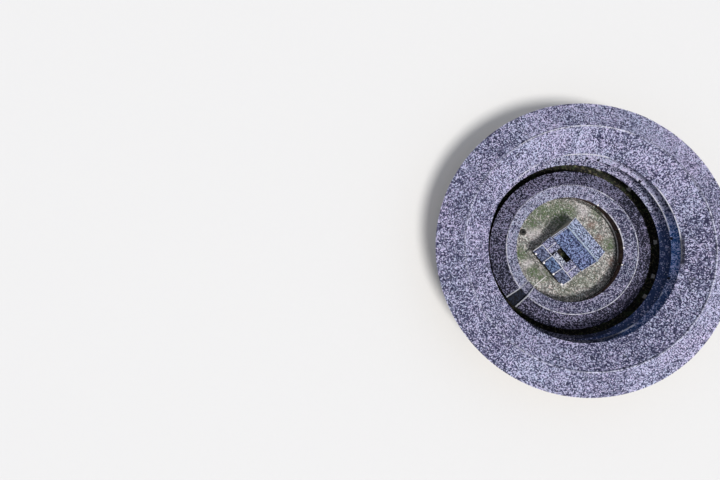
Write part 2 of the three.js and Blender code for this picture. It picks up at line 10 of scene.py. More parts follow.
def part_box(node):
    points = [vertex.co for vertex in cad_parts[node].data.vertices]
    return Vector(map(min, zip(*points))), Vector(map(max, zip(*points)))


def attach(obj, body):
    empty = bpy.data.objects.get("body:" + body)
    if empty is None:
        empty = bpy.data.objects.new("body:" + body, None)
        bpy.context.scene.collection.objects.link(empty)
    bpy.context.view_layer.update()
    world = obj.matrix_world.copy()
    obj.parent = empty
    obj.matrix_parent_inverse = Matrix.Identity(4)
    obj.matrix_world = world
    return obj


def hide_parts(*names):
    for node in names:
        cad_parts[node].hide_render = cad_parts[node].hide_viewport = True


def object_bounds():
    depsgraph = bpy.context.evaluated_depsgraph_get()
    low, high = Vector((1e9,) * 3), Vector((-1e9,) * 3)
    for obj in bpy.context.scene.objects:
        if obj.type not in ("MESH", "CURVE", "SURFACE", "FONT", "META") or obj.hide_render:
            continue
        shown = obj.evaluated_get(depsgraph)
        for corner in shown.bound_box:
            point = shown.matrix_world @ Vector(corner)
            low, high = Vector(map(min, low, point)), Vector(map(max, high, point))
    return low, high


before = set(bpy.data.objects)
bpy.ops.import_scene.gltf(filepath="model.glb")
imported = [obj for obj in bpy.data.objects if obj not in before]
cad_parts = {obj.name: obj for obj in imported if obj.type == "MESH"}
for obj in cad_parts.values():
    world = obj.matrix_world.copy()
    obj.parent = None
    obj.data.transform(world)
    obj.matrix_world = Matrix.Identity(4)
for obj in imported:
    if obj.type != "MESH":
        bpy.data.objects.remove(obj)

bl_info = {
    "name": "Earth roundhouse",
    "version": (1, 0, 0),
    "blender": (4, 5, 0),
    "location": "View3D > Sidebar > Roundhouse",
    "description": "Tiled roofs, rammed earth, galleries and hall of a round earth house at half size",
    "category": "Add Mesh",
}

# The house is a scale model: real sizes in metres are halved
SCALE = 0.5
FULL_TURN = math.tau
CAD_LOW, CAD_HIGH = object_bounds()


def real(value):
    """A real size in metres, at the scale of the model"""
    return value * SCALE


def point(reach, height):
    """A point of a roof or a wall, from its real distance and height"""
    return real(reach), real(height)


# Rings, as radius and height: the eave or foot first, then the ridge or top
BAYS = 60
BAY = FULL_TURN / BAYS
EAVE = (CAD_HIGH.x, real(12.2))
RIDGE = point(28.3, 15.2)
COURT_EAVE = point(22.25, 12.2)
PENT_UPPER = (point(22.0, 8.95), point(24.1, 9.85))
PENT_LOWER = (point(21.3, 5.35), point(24.1, 6.55))
INNER_EAVE = point(20.0, 3.6)
INNER_RIDGE = point(16.2, 5.0)
INNER_COURT_EAVE = point(13.3, 3.7)
PASSAGE_EAVE = point(20.15, 3.3)
PASSAGE_RIDGE = point(16.0, 4.45)
PASSAGE_COURT_EAVE = point(13.1, 3.35)

# Passage through the inner ring, by its angles from the gate
PASSAGE_MIDDLE = math.radians(2.5)
PASSAGE_HALF = math.radians(5.1)
PASSAGE_WALL = math.radians(0.85)
INNER_FIRST = PASSAGE_MIDDLE + PASSAGE_HALF
INNER_LAST = FULL_TURN + PASSAGE_MIDDLE - PASSAGE_HALF

# Ridge caps: half width, rise, and how steeply the two slopes fall away
MAIN_CAP = (real(0.2), real(0.24), 0.465, 0.496)
INNER_CAP = (real(0.16), real(0.14), 0.368, 0.448)

# Earth wall with its plinth and gate. A window is its half width, its sill and its height
WALL_FOOT = point(33.0, 1.2)
WALL_TOP = point(32.8, 12.84)
WALL_INSIDE = point(31.4, 13.49)
PLINTH_RADIUS = real(33.1)
WINDOW_UPPER = (real(0.3), real(9.9), real(0.9))
WINDOW_LOWER = (real(0.25), real(6.8), real(0.75))
WINDOW_BACK = real(32.52)
WINDOW_FACE = real(32.64)
GATE_HALF = real(0.95)
GATE_SPRING = real(1.7)
GATE_TOP = real(3.2)

# Storeys, by the tops of their floors, and the timber rings that stand on them
FLOOR_TOP = real(0.15)
FLOORS = (FLOOR_TOP, real(3.0), real(5.8), real(8.9))
FLOOR_DEPTH = real(0.25)
SEAT = real(0.001)
ROOM_FRONT = real(26.0)
GALLERY_EDGE = real(24.39)
PARAPET_DEPTH = real(0.08)
PARAPET_HEIGHT = real(0.95)
INNER_WALL = real(19.2)
INNER_COURT_WALL = real(13.85)
INNER_WALL_DEPTH = real(0.25)
INNER_FACETS = 40
INNER_STEP = (INNER_LAST - INNER_FIRST) / INNER_FACETS
FACETS_PER_DOOR = 4

# Doorways: half width and height. Lattices: half width, sill above the floor, height and bars
DOORWAY = (real(0.45), real(1.95))
HALL_DOORWAY = (real(0.95), real(2.4))
ROOM_LATTICE = (real(0.45), real(0.95), real(0.8), 7)
INNER_LATTICE = (real(0.5), real(1.0), real(0.75), 6)
HALL_LATTICE = (real(0.65), real(1.0), real(1.1), 9)
FRAME_PROUD = real(0.05)

# Hall: middle line and half width of the roofs, then points of the roofs as y and height
HALL_X = real(0.2)
HALL_ROOF_HALF = real(5.65)
REAR_FRONT = point(-1.6, 4.5)
REAR_RIDGE = point(2.2, 6.9)
REAR_BACK = point(6.1, 4.5)
FRONT_EAVE = point(-7.4, 3.5)
FRONT_RIDGE = point(-4.8, 4.7)
CENTRE_HALF = real(1.95)
CENTRE_RISE = real(0.3)
CENTRE_BACK = point(-3.0, 4.15)
RAISED_EAVE = (FRONT_EAVE[0], FRONT_EAVE[1] + CENTRE_RISE)
RAISED_RIDGE = (FRONT_RIDGE[0], FRONT_RIDGE[1] + CENTRE_RISE)
WING_EAVE = real(3.6)
WING_RIDGE = real(4.15)
WING_BACK = real(-1.5)
WING_RIDGE_X = (CENTRE_HALF + HALL_ROOF_HALF) / 2
HALL_WALL_FRONT = real(-6.6)
HALL_LATTICE_X = real(3.5)

# Hall: platform with its step, rooms on it as middle and half size, and columns round the sky-well
PLATFORM_TOP = real(0.6)
PLATFORM_FRONT = real(-8.0)
STEP_DEPTH, STEP_FOOT, STEP_TOP = real(0.35), real(0.25), real(0.43)
HALL_INDOORS = ((HALL_X, real(-0.6)), (real(5.2), real(6.4)))
COLUMN_X = real(2.09)
COLUMN_ROWS = (real(-3.2), real(-1.3))
COLUMN_BASE_HALF = real(0.21)
COLUMN_BASE_TOP = PLATFORM_TOP + real(0.16)

# Lime lines on the hall's roofs, and the lime ends along its front eave
LINE_WIDTH = real(0.15)
REAR_LINE_WIDTH = LINE_WIDTH * 0.7
SECOND_LINE_WIDTH = LINE_WIDTH * 0.6
SECOND_LINE_IN = real(0.35)
LINE_DEPTH = real(0.14)
LINE_ABOVE = real(0.09)
EAVE_ENDS = (real(-4.43), real(-1.49), real(2.13), real(5.39))
EAVE_END_HALF = real(0.24)

# Court: the path with its kerb, the well, and the kerb and the band of painted shade under the inner eave
PATH_LEFT = real(-0.75)
PATH_RIGHT = real(2.15)
PATH_START = real(-13.2)
PATH_KERB_LEFT = PATH_RIGHT - real(0.06)
PATH_KERB_RIGHT = PATH_RIGHT + real(0.18)
PATH_KERB_TOP = real(0.36)
WELL = point(-10.3, -5.2)
WELL_MOUTH = real(0.4)
DRIP_KERB_INSIDE = real(13.5)
DRIP_KERB_OUTSIDE = real(13.66)
DRIP_KERB_TOP = FLOOR_TOP + real(0.09)
DRIP_SHADE_RADIUS = real(13.25)
DRIP_SHADE_WIDTH = real(0.3)

# Steps in front of the galleries: the radius where they start, then width, outer radius and rise of each
STEP_INNER = real(22.8)
STEP_WEAR = real(0.02)
STEPS = ((real(1.2), real(23.2), real(0.14)), (real(1.0), real(23.6), real(0.28)))

# Angles of the photograph count from its right towards its top; the house's count from the gate
PHOTO_TURN = math.radians(219)
NARROW_SOFT = math.radians(4)
WIDE_SOFT = math.radians(15)
GAP_SOFT = math.radians(0.1)
HALF_GAP_DEGREES = 0.9

# Where lime lies, and where dark gaps, shadow, shade and light are painted, in degrees of the photograph:
# first and last, and a strength below 1
RIDGE_BRIGHT = ((66, 124),)
RIDGE_THIN = ((226, 244), (262, 400))
RIDGE_DARK = ((20, 64),)
INNER_RIDGE_BRIGHT = ((160, 376), (47, 68))
INNER_RIDGE_DARK = ((20, 28),)
COURT_EAVE_LIME = ((-8, 42), (70, 103), (115, 135))
# Painted shadow along a stretch of the court eave
COURT_EAVE_SHADOW = ((-13, 8, 0.85),)
INNER_EAVE_LIME = ((0, 55),)
PENT_LIME = ((8, 40), (45, 51), (-33, -27), (-80, -52))
# Dark gaps painted in the upper pent, painted shadow over the first courses of the pents, and painted blue
# shade
PENT_GAPS = (83, 76, 47, 6, -19)
PENT_SHADOW = ((-122, -64, 0.75),)
PENT_SHADE = ((-25, 25), (-85, -12, 0.5))
LOWER_PENT_SHADE = ((-90, 25, 0.3),)
# Arcs where the drip kerb is lit, and where a band of painted shade lies under the inner eave
DRIP_KERB_LIT = ((-12, 44),)
DRIP_SHADE = ((-40, 80),)

# Stretches of a roof painted paler where light falls, or darker with painted shade where the strength is
# below 0
OUTER_LIGHT_AND_SHADE = ((290, 335, 0.12), (28, 75, 0.09), (-10, 32, -0.19), (115, 245, -0.16))
COURT_LIGHT_AND_SHADE = ((75, 130, 0.09), (135, 225, -0.11), (262, 390, -0.18))
OLD_PAINTED_SHADE = ((165, 262, -0.32), (275, 415, -0.42))
INNER_LIGHT_AND_SHADE = ((60, 228, 0.13), (232, 365, -0.16), (0, 55, -0.22))
PENT_LIGHT_AND_SHADE = ((25, 95, 0.65), (-30, 25, -0.12), (-88, -18, -0.42))
LOWER_PENT_LIGHT_AND_SHADE = ((-98, 24, -0.9),)

# Lime ends on the inner ring's court eave, and steps in the court, in degrees of the photograph
INNER_EAVE_ENDS = (56.7, 22.4, 1.7, -16.9)
STEP_ANGLES = (5, 343, 329, 43, 66, 102, 279)

# Patches of the inner court: x, y and reach
MOSS_PATCHES = (
    (-11.4, 1.8, 4.2), (-8.4, 5.0, 4.6), (-10.6, -1.8, 2.8), (-6.9, 7.4, 3.2), (-6.1, -9.3, 2.6),
    (-0.8, -9.8, 2.4), (1.6, -8.9, 2.2), (-2.2, 13.1, 2.2), (6.1, 9.7, 2.6),
)
PALE_PATCHES = ((-8.5, -3.2, 2.6), (-3.2, -9.7, 1.8), (-5.2, 10.4, 2.4))
RED_PATCHES = ((-0.7, 9.8, 1.5), (3.4, 8.9, 1.6), (10.2, 7.7, 1.8))
# A patch of painted shade round the well
WELL_SHADE_PATCHES = ((WELL[0] / SCALE, WELL[1] / SCALE, 1.0),)

# How much darker or bluer a roof is than the main one
PLAIN_TINT = (1.0, 1.0, 1.0)
# The inner ring's outer slope has darker old tiles, and painted shade from the main roof over it
OLD_SHADED_TINT = (0.22, 0.22, 0.27)
OLD_SHADED_PALE_TINT = (0.52, 0.51, 0.58)
INNER_TINT = (0.82, 0.84, 0.82)
# The passage's outer slope is tinted near black as painted shade
PASSAGE_SHADE_TINT = (0.028, 0.042, 0.065)
PASSAGE_COURT_TINT = (0.6, 0.62, 0.6)
REAR_FRONT_TINT = (0.5, 0.64, 0.8)
REAR_BACK_TINT = (1.12, 1.3, 1.24)
FRONT_TINT = (0.4, 0.46, 0.53)
RIGHT_TINT = (0.35, 0.42, 0.48)
MIDDLE_FRONT_TINT = (0.36, 0.52, 0.64)
MIDDLE_BACK_TINT = (1.45, 1.52, 1.24)
WING_TINT = (0.8, 0.82, 0.85)

# Other colours: painted blue shade on the pent tiles, painted shadow and dark gaps, old lime, joints between
# boards, water painted near black as the shade down the well, and light
PAINTED_SHADE_BLUE = (0.0, 0.075, 0.24, 1)
PAINTED_SHADOW_DARK = (0.004, 0.006, 0.016, 1)
BOARD_GAP_COLOUR = (0.01, 0.01, 0.01, 1)
REAR_RIDGE_LIME = (0.33, 0.4, 0.5)
VERGE_LIME = (0.4, 0.41, 0.47)
WATER_COLOUR = (0.004, 0.005, 0.006)
WATER_SCUM_COLOUR = (0.01, 0.012, 0.01)
SUN_COLOUR = (1.0, 0.97, 0.92)
SKY_COLOUR = (0.86, 0.9, 1.0, 1.0)

# Tiles: faces across one column, and the share of the column that the cover tile takes
TILE_FACES = 6
COVER_SHARE = 0.6
TILE_LAYER = real(0.11)
ROOF_DEPTH = real(0.25)
WAVE_SIZE = real(6.0)
WANDER_SIZE = real(1.7)
WELD = 1e-5

# The camera hovers over the house. The photograph's frame is turned about Z from the house's
CAMERA_TURN = math.radians(51.0)
CAMERA_OFFSET = Vector((-47.91, -5.91, 127.2))
CAMERA_TILT = (math.radians(-3.91), math.radians(-2.42))
CAMERA_LENS = 24.0
CAMERA_SENSOR = 36.0
CAMERA_REACH = real(2000.0)
STAGE_HALF = real(900.0)
STAGE_DROP = real(0.01)


# Shader nodes

FLOAT = "NodeSocketFloat"
COLOUR = "NodeSocketColor"
PLACE = "NodeSocketVector"


class Value:
    """What comes out of a shader node. Sums and products of values add more nodes to the same tree"""

    def __init__(self, socket):
        self.socket = socket
        self.tree = socket.id_data

    def __add__(self, other):
        return calc("ADD", self, other)

    def __sub__(self, other):
        return calc("SUBTRACT", self, other)

    def __rsub__(self, other):
        return calc("SUBTRACT", other, self)

    def __mul__(self, other):
        return calc("MULTIPLY", self, other)

    def __rmul__(self, other):
        return calc("MULTIPLY", other, self)

    def __truediv__(self, other):
        return calc("DIVIDE", self, other)

    def __abs__(self):
        return calc("ABSOLUTE", self)


def tree_of(values):
    """The tree of the first value that comes out of a node"""
    return next(value.tree for value in values if isinstance(value, Value))


def feed(socket, value):
    """Links a value to a socket, or sets the socket to a plain number or colour"""
    if isinstance(value, Value):
        value.tree.links.new(value.socket, socket)
    else:
        socket.default_value = value


def add_node(tree, kind, inputs=None, **settings):
    """One shader node with its settings and inputs"""
    made = tree.nodes.new(kind)
    for key, value in settings.items():
        setattr(made, key, value)
    for key, value in (inputs or {}).items():
        feed(made.inputs[key], value)
    return made


def calc(operation, *values, clamp=False):
    """One step of arithmetic"""
    made = add_node(tree_of(values), "ShaderNodeMath", dict(enumerate(values)), operation=operation,
                    use_clamp=clamp)
    return Value(made.outputs[0])


def linear(value, slope, start):
    """A value times a slope, plus a start"""
    return calc("MULTIPLY_ADD", value, slope, start)


def ramp(value, slope, start):
    """The same, kept between 0 and 1"""
    return calc("MULTIPLY_ADD", value, slope, start, clamp=True)


def off_centre(count):
    """How far a place lies from the middle of its column, board or layer"""
    return abs(calc("FRACT", count) - 0.5)


def weighed(tone, effects):
    """Moves a tone up or down by each effect, which is a value round one half and its weight"""
    for value, weight in effects:
        tone = linear(value - 0.5, weight, tone)
    return tone


def mixed(share, first, second, blend="MIX"):
    """A mix of two colours"""
    made = add_node(tree_of((share, first, second)), "ShaderNodeMix", data_type="RGBA", blend_type=blend)
    colours = [socket for socket in made.inputs if socket.type == "RGBA"]
    for socket, value in zip((made.inputs["Factor"], *colours), (share, first, second)):
        feed(socket, value)
    return Value(next(socket for socket in made.outputs if socket.type == "RGBA"))


def dyed(colour, dye):
    """A colour times another"""
    return mixed(1.0, colour, dye, "MULTIPLY")


def toned(colour, tone):
    """A colour made lighter or darker by a value"""
    return dyed(colour, combined(tone, tone, tone))


def combined(x, y, z=0.0):
    made = add_node(tree_of((x, y, z)), "ShaderNodeCombineXYZ", {"X": x, "Y": y, "Z": z})
    return Value(made.outputs[0])


def separated(place):
    made = add_node(place.tree, "ShaderNodeSeparateXYZ", {"Vector": place})
    return [Value(socket) for socket in made.outputs]


def cell_value(x, y, use=0.0):
    """A random value from 0 to 1 for each whole x and y, with a number that tells one use from another"""
    made = add_node(tree_of((x, y)), "ShaderNodeTexWhiteNoise", {"Vector": combined(x, y, use)},
                    noise_dimensions="3D")
    return Value(made.outputs["Value"])


def cloudy(place, scale, detail=3.0, roughness=0.55):
    """Cloudy noise round one half"""
    made = add_node(place.tree, "ShaderNodeTexNoise",
                    {"Vector": place, "Scale": scale, "Detail": detail, "Roughness": roughness})
    return Value(made.outputs["Fac"])


def voronoi(place, scale, randomness=1.0, feature="F1"):
    """Irregular cells, as a dictionary of what comes out of their node"""
    made = add_node(place.tree, "ShaderNodeTexVoronoi",
                    {"Vector": place, "Scale": scale, "Randomness": randomness}, feature=feature)
    return made.outputs


def cell_tones(cells):
    """Three random values for each cell"""
    made = add_node(cells["Color"].id_data, "ShaderNodeSeparateColor", {"Color": Value(cells["Color"])})
    return [Value(socket) for socket in made.outputs]


def make_group(name, inputs, outputs, build):
    """A new node group; build turns its inputs into its outputs, both by name"""
    tree = bpy.data.node_groups.new(name, "ShaderNodeTree")
    for direction, sockets in (("INPUT", inputs), ("OUTPUT", outputs)):
        for kind, labels in sockets.items():
            for label in labels:
                tree.interface.new_socket(label, in_out=direction, socket_type=kind)
    given = {socket.name: Value(socket) for socket in tree.nodes.new("NodeGroupInput").outputs if socket.name}
    results = tree.nodes.new("NodeGroupOutput").inputs
    for label, value in build(given).items():
        feed(results[label], value)


def shader_group(name, inputs, outputs):
    """Turns the function under it into one that places a node group, which is built the first time"""
    def decorate(build):
        def placed(values):
            if name not in bpy.data.node_groups:
                make_group(name, inputs, outputs, build)
            made = add_node(tree_of(values.values()), "ShaderNodeGroup", values,
                            node_tree=bpy.data.node_groups[name])
            return {socket.name: Value(socket) for socket in made.outputs}
        return placed
    return decorate


@shader_group("Ring place", {PLACE: ["Place"]}, {FLOAT: ["Angle", "Radius", "Height"]})
def ring_place(given):
    """Angle from the gate towards +X, distance from the middle of the court, and height"""
    x, y, z = separated(given["Place"])
    return {
        "Angle": calc("ARCTAN2", x, y * -1.0),
        "Radius": calc("SQRT", linear(y, y, x * x)),
        "Height": z,
    }


@shader_group("Arc share", {FLOAT: ["Angle", "Middle", "Half", "Soft"]}, {FLOAT: ["Share"]})
def arc_share(given):
    """How far an angle lies inside one arc: 1 well inside it and 0 outside"""
    away = abs(calc("WRAP", given["Angle"] - given["Middle"], math.pi, -math.pi))
    return {"Share": calc("DIVIDE", given["Half"] - away, given["Soft"], clamp=True)}


def arcs(angle, spans, soft=NARROW_SOFT):
    """Share inside any of the arcs: first and last in degrees of the photograph, and a strength below 1"""
    share = 0.0
    for first, last, *strength in spans:
        found = arc_share({
            "Angle": angle, "Middle": math.radians((first + last) / 2) - PHOTO_TURN,
            "Half": math.radians((last - first) / 2), "Soft": soft})["Share"]
        if strength:
            found = found * strength[0]
        share = calc("MAXIMUM", share, found)
    return share


@shader_group("Patch share", {PLACE: ["Place", "Middle"], FLOAT: ["Reach"]}, {FLOAT: ["Share"]})
def patch_share(given):
    """A round patch that fades from its middle to its edge"""
    away = add_node(given["Place"].tree, "ShaderNodeVectorMath", {0: given["Place"], 1: given["Middle"]},
                    operation="DISTANCE").outputs["Value"]
    return {"Share": ramp(Value(away) / given["Reach"], -1.6, 1.6)}


def patches(place, spots):
    """Share inside any of the patches of the court's floor"""
    share = 0.0
    for x, y, reach in spots:
        found = patch_share({"Place": place, "Middle": (real(x), real(y), FLOOR_TOP), "Reach": real(reach)})
        share = calc("MAXIMUM", share, found["Share"])
    return share


@shader_group("Tile tones", {
    FLOAT: ["Across", "Along", "Section", "Patchiness", "Streaks", "Grain", "Tone",
            "Moss share", "Lime share", "Dark share", "Shade share"],
    PLACE: ["Place"],
    COLOUR: ["Tile", "Pale", "Dark", "Moss", "Lime"],
}, {COLOUR: ["Color"], FLOAT: ["Height"]})
def tile_tones(given):
    """Colour and relief of clay tiles: Across counts tile columns and Along counts courses"""
    place, across, along = given["Place"], given["Across"], given["Along"]
    column = calc("FLOOR", across)
    course = calc("FLOOR", along)
    section = calc("FLOOR", across / given["Section"])
    pair = calc("FLOOR", along * 0.5)
    one_tile = cell_value(column, course)
    # Tone holds painted light and shade by arc; each tile's random tone is added to it
    tone = weighed(given["Tone"] + 0.5, (
        (one_tile, given["Grain"]),
        (cell_value(column, pair, 3.0), given["Grain"] * 0.5),
        (cell_value(column, 0.5, 7.0), 0.25),
        (cell_value(section, 0.5, 19.0), given["Patchiness"]),
        (cloudy(combined(across * 0.3, along * 0.05), 1.0, 4.0, 0.65), given["Streaks"]),
        (cloudy(place, 0.45, 5.0, 0.62), 0.7),
    ))
    colour = mixed(ramp(tone, 2.0, -1.0), given["Tile"], given["Pale"])
    colour = mixed(ramp(tone, -2.0, 1.0), colour, given["Dark"])
    # Some tiles are a little redder and some a little bluer
    hue = ramp(cloudy(place, 0.22), 1.6, linear(cell_value(column, pair, 13.0), 0.9, -0.75))
    colour = dyed(colour, mixed(hue, (0.93, 1.0, 1.02, 1), (1.1, 0.98, 1.06, 1)))
    moss = ramp(cloudy(place, 1.7, 6.0, 0.7) - 0.56, 7.0, 0.0)
    colour = mixed(moss * given["Moss share"], colour, given["Moss"])
    # A few tiles are new, and stand out
    stands_out = ramp(cell_value(column, course, 29.0), 40.0, -38.6)
    colour = mixed(stands_out * 0.8, colour, given["Pale"])
    # The pan tiles between the covers are painted darker
    pan = ramp(off_centre(across), 6.0, -1.6)
    colour = mixed(pan * 0.5, colour, given["Dark"])
    # Each tile lies on the one below it, so its lower edge stands proud, and a thin painted shadow line lies
    # under it
    in_course = calc("FRACT", along)
    edge = ramp(in_course, 9.0, -8.0)
    colour = mixed(edge * 0.55, colour, given["Dark"])
    # Painted blue shade goes on first, then lime, then painted shadow and dark gaps
    colour = mixed(given["Shade share"], colour, PAINTED_SHADE_BLUE, "ADD")
    colour = mixed(given["Lime share"], colour, given["Lime"])
    colour = mixed(given["Dark share"], colour, PAINTED_SHADOW_DARK)
    height = linear(cloudy(place, 30.0, 2.0), 0.25, 1.0 - in_course)
    return {"Color": colour, "Height": linear(one_tile, 0.3, height)}


@shader_group("Stains", {PLACE: ["Place"], COLOUR: ["Base", "Stain"], FLOAT: ["Scale", "Amount", "Runs"]},
              {COLOUR: ["Color"], FLOAT: ["Height"]})
def stains(given):
    """Patches and runs of dirt over a plain colour, with a fine grain"""
    place = given["Place"]
    spots = cloudy(place, given["Scale"], 6.0, 0.65)
    x, y, z = separated(place)
    runs = ramp(cloudy(combined(x, y, z * 0.12), 5.0, 4.0, 0.6), 4.0, -1.9)
    share = ramp(runs, given["Runs"], ramp(spots, 3.2, -1.25))
    fine = cloudy(place, 22.0, 3.0, 0.6)
    colour = mixed(share * given["Amount"], given["Base"], given["Stain"])
    return {"Color": toned(colour, ramp(fine, 0.5, 0.72)), "Height": linear(fine, 0.6, spots)}


@shader_group("Laid stones", {
    PLACE: ["Place"], COLOUR: ["Stone", "Joint", "Moss"], FLOAT: ["Scale", "Damp", "Contrast"],
}, {COLOUR: ["Color"], FLOAT: ["Height"]})
def laid_stones(given):
    """Laid stones with dark joints, moss in damp places and a different tone for each stone"""
    place = given["Place"]
    red, green, _ = cell_tones(voronoi(place, given["Scale"], 0.85))
    edges = Value(voronoi(place, given["Scale"], 0.85, "DISTANCE_TO_EDGE")["Distance"])
    tone = calc("MAXIMUM", 0.06, linear(red * red - 0.33, given["Contrast"], 1.0))
    colour = toned(given["Stone"], tone)
    colour = dyed(colour, mixed(green, (1.1, 0.97, 0.95, 1), (0.93, 1.02, 1.0, 1)))
    colour = mixed(ramp(edges, -14.0, 1.0), colour, given["Joint"])
    speckle = cloudy(place, 9.0, 3.0, 0.7)
    moss = ramp(cloudy(place, 0.32, 6.0, 0.62), 5.0, -2.3) * ramp(speckle, 3.0, -0.7)
    colour = mixed(moss * given["Damp"], colour, given["Moss"])
    return {"Color": colour, "Height": linear(speckle, 0.2, ramp(edges, 7.0, 0.0))}


@shader_group("Old boards", {FLOAT: ["Across", "Along", "Wear"], COLOUR: ["Wood", "Worn"]},
              {COLOUR: ["Color"], FLOAT: ["Height"]})
def old_boards(given):
    """Old boards: Across counts the boards, and the grain runs along the other way"""
    across, along = given["Across"], given["Along"]
    one_board = cell_value(calc("FLOOR", across), 0.5, 3.0)
    shift = linear(one_board, 20.0, along)
    grain = cloudy(combined(across * 9.0, shift * 0.9), 1.0, 5.0, 0.7)
    weather = cloudy(combined(across, along), 0.5, 4.0)
    share = linear(one_board - 0.5, 0.5, grain) + (weather - 0.5)
    gap = ramp(off_centre(across), 30.0, -14.2)
    colour = mixed(ramp(share, given["Wear"], 0.0), given["Wood"], given["Worn"])
    return {"Color": mixed(gap, colour, BOARD_GAP_COLOUR), "Height": linear(grain, 0.3, 1.0 - gap)}


@shader_group("Earth lifts", {
    FLOAT: ["Around", "Height", "Lift", "Form"], PLACE: ["Place"], COLOUR: ["Earth", "Pale", "Damp"],
}, {COLOUR: ["Color"], FLOAT: ["Height"]})
def earth_lifts(given):
    """Rammed earth in lifts: Around is the way along the wall and Height the way up"""
    place, around, height = given["Place"], given["Around"], given["Height"]
    lifts = height / given["Lift"]
    lift = calc("FLOOR", lifts)
    forms = around / given["Form"] + lift * 0.37
    spots = cloudy(place, 0.8, 6.0, 0.65)
    gravel = cloudy(place, 16.0, 4.0, 0.7)
    tone = weighed(0.5, (
        (cell_value(calc("FLOOR", forms), lift, 5.0), 0.4),
        (cell_value(0.5, lift, 11.0), 0.35),
        (spots, 1.1),
        (gravel, 0.5),
    ))
    colour = mixed(ramp(tone, 1.0, 0.0), given["Earth"], given["Pale"])
    seam = ramp(off_centre(lifts), 24.0, -11.2)
    joint = ramp(off_centre(forms), 60.0, -29.2)
    lines = calc("ADD", seam, joint, clamp=True)
    colour = mixed(lines * 0.3, colour, given["Damp"])
    runs = cloudy(combined(around * 1.6, height * 0.16), 1.0, 5.0, 0.65)
    colour = mixed(ramp(runs, 4.5, -2.35) * 0.55, colour, given["Damp"])
    relief = linear(gravel, 0.5, 1.0 - lines * 0.5)
    return {"Color": colour, "Height": linear(spots, 1.2, relief)}


# Materials

def rgba(colour):
    return (colour[0], colour[1], colour[2], 1.0)


def tinted(colour, tint):
    return rgba([channel * share for channel, share in zip(colour, tint)])


def shaded(colour, share):
    return tinted(colour, (share, share, share))


def new_material(name, roughness=0.85):
    """A material, and the Object coordinates in its tree"""
    made = bpy.data.materials.new(name)
    made.use_nodes = True
    shader = made.node_tree.nodes["Principled BSDF"]
    shader.inputs["Roughness"].default_value = roughness
    shader.inputs["Specular IOR Level"].default_value = 0.3
    return made, Value(add_node(made.node_tree, "ShaderNodeTexCoord").outputs["Object"])


def finished(material, colour, height, depth):
    """Joins a colour and a relief to the surface of a material"""
    tree = material.node_tree
    shader = tree.nodes["Principled BSDF"]
    feed(shader.inputs["Base Color"], colour)
    bump = add_node(tree, "ShaderNodeBump", {"Height": height, "Distance": depth, "Strength": 1.0})
    tree.links.new(bump.outputs["Normal"], shader.inputs["Normal"])
    return material


def tile_material(name, roof, across, along, tint=PLAIN_TINT, pale_tint=None, section=24.0, moss=None,
                  marks=None, grain=1.0):
    """Clay tiles: across and along turn a place into tile counts"""
    made, place = new_material(name, roof.tile_roughness)
    courses = along(place)
    lime, dark, shade, tone = marks(place, courses) if marks else (0.0, 0.0, 0.0, 0.0)
    result = tile_tones({
        "Across": across(place), "Along": courses, "Place": place,
        "Tile": tinted(roof.tile_colour, tint), "Pale": tinted(roof.pale_tile_colour, pale_tint or tint),
        "Dark": tinted(roof.dark_tile_colour, tint), "Moss": tinted(roof.moss_colour, tint),
        "Lime": rgba(roof.lime_colour), "Section": section, "Patchiness": roof.patchiness,
        "Streaks": roof.streaks, "Grain": roof.grain * grain, "Tone": tone, "Lime share": lime,
        "Dark share": dark, "Shade share": shade,
        "Moss share": roof.moss_share if moss is None else moss,
    })
    return finished(made, result["Color"], result["Height"], roof.tile_rise * 0.3)


def ring_marks(lime=(), dark=(), gaps=(), shade=(), tones=()):
    """Marks on a ring roof: lime mortar along the eave, painted shadow over the first courses, painted dark
    gaps, and whole arcs of painted blue shade and of painted light and shade"""
    def marks(place, courses):
        angle = ring_place({"Place": place})["Angle"]
        broken = ramp(cloudy(place, 2.4, 4.0, 0.75), 6.0, -2.1)
        first_course = ramp(courses, -2.0, 2.8)
        limed = arcs(angle, lime) * first_course * broken
        # Painted shadow over the first courses, and dark gaps painted in the tiles
        painted_shadow = arcs(angle, dark) * ramp(courses, -0.6, 3.0)
        gap_arcs = [(gap - HALF_GAP_DEGREES, gap + HALF_GAP_DEGREES) for gap in gaps]
        holes = arcs(angle, gap_arcs, GAP_SOFT) * ramp(courses, -8.0, 20.0)
        # Arcs painted paler where light falls and darker where shade falls
        tone = 0.0
        for first, last, strength in tones:
            tone = linear(arcs(angle, [(first, last)], WIDE_SOFT), strength, tone)
        return limed * 0.9, calc("MAXIMUM", painted_shadow, holes), arcs(angle, shade, WIDE_SOFT), tone
    return marks


def ring_tiles(name, roof, foot, top, columns, first, last, **looks):
    """Tiles of a ring roof, with columns that fan out from the middle of the court"""
    per_turn = columns / (last - first)
    per_metre = math.dist(foot, top) / (top[0] - foot[0]) / roof.course

    def across(place):
        wrapped = calc("WRAP", ring_place({"Place": place})["Angle"], FULL_TURN + first, first)
        return linear(wrapped, per_turn, -first * per_turn)

    def along(place):
        return linear(ring_place({"Place": place})["Radius"], per_metre, -foot[0] * per_metre)

    return tile_material(name, roof, across, along, **looks)


def straight_tiles(name, roof, axis, start, pitch, foot, top, **looks):
    """Tiles of a straight slope: columns are counted along one axis and courses along the other"""
    per_metre = math.dist(foot, top) / (top[0] - foot[0]) / roof.course

    def across(place):
        return linear(separated(place)[axis], 1 / pitch, -start / pitch)

    def along(place):
        return linear(separated(place)[1 - axis], per_metre, -foot[0] * per_metre)

    return tile_material(name, roof, across, along, **looks)


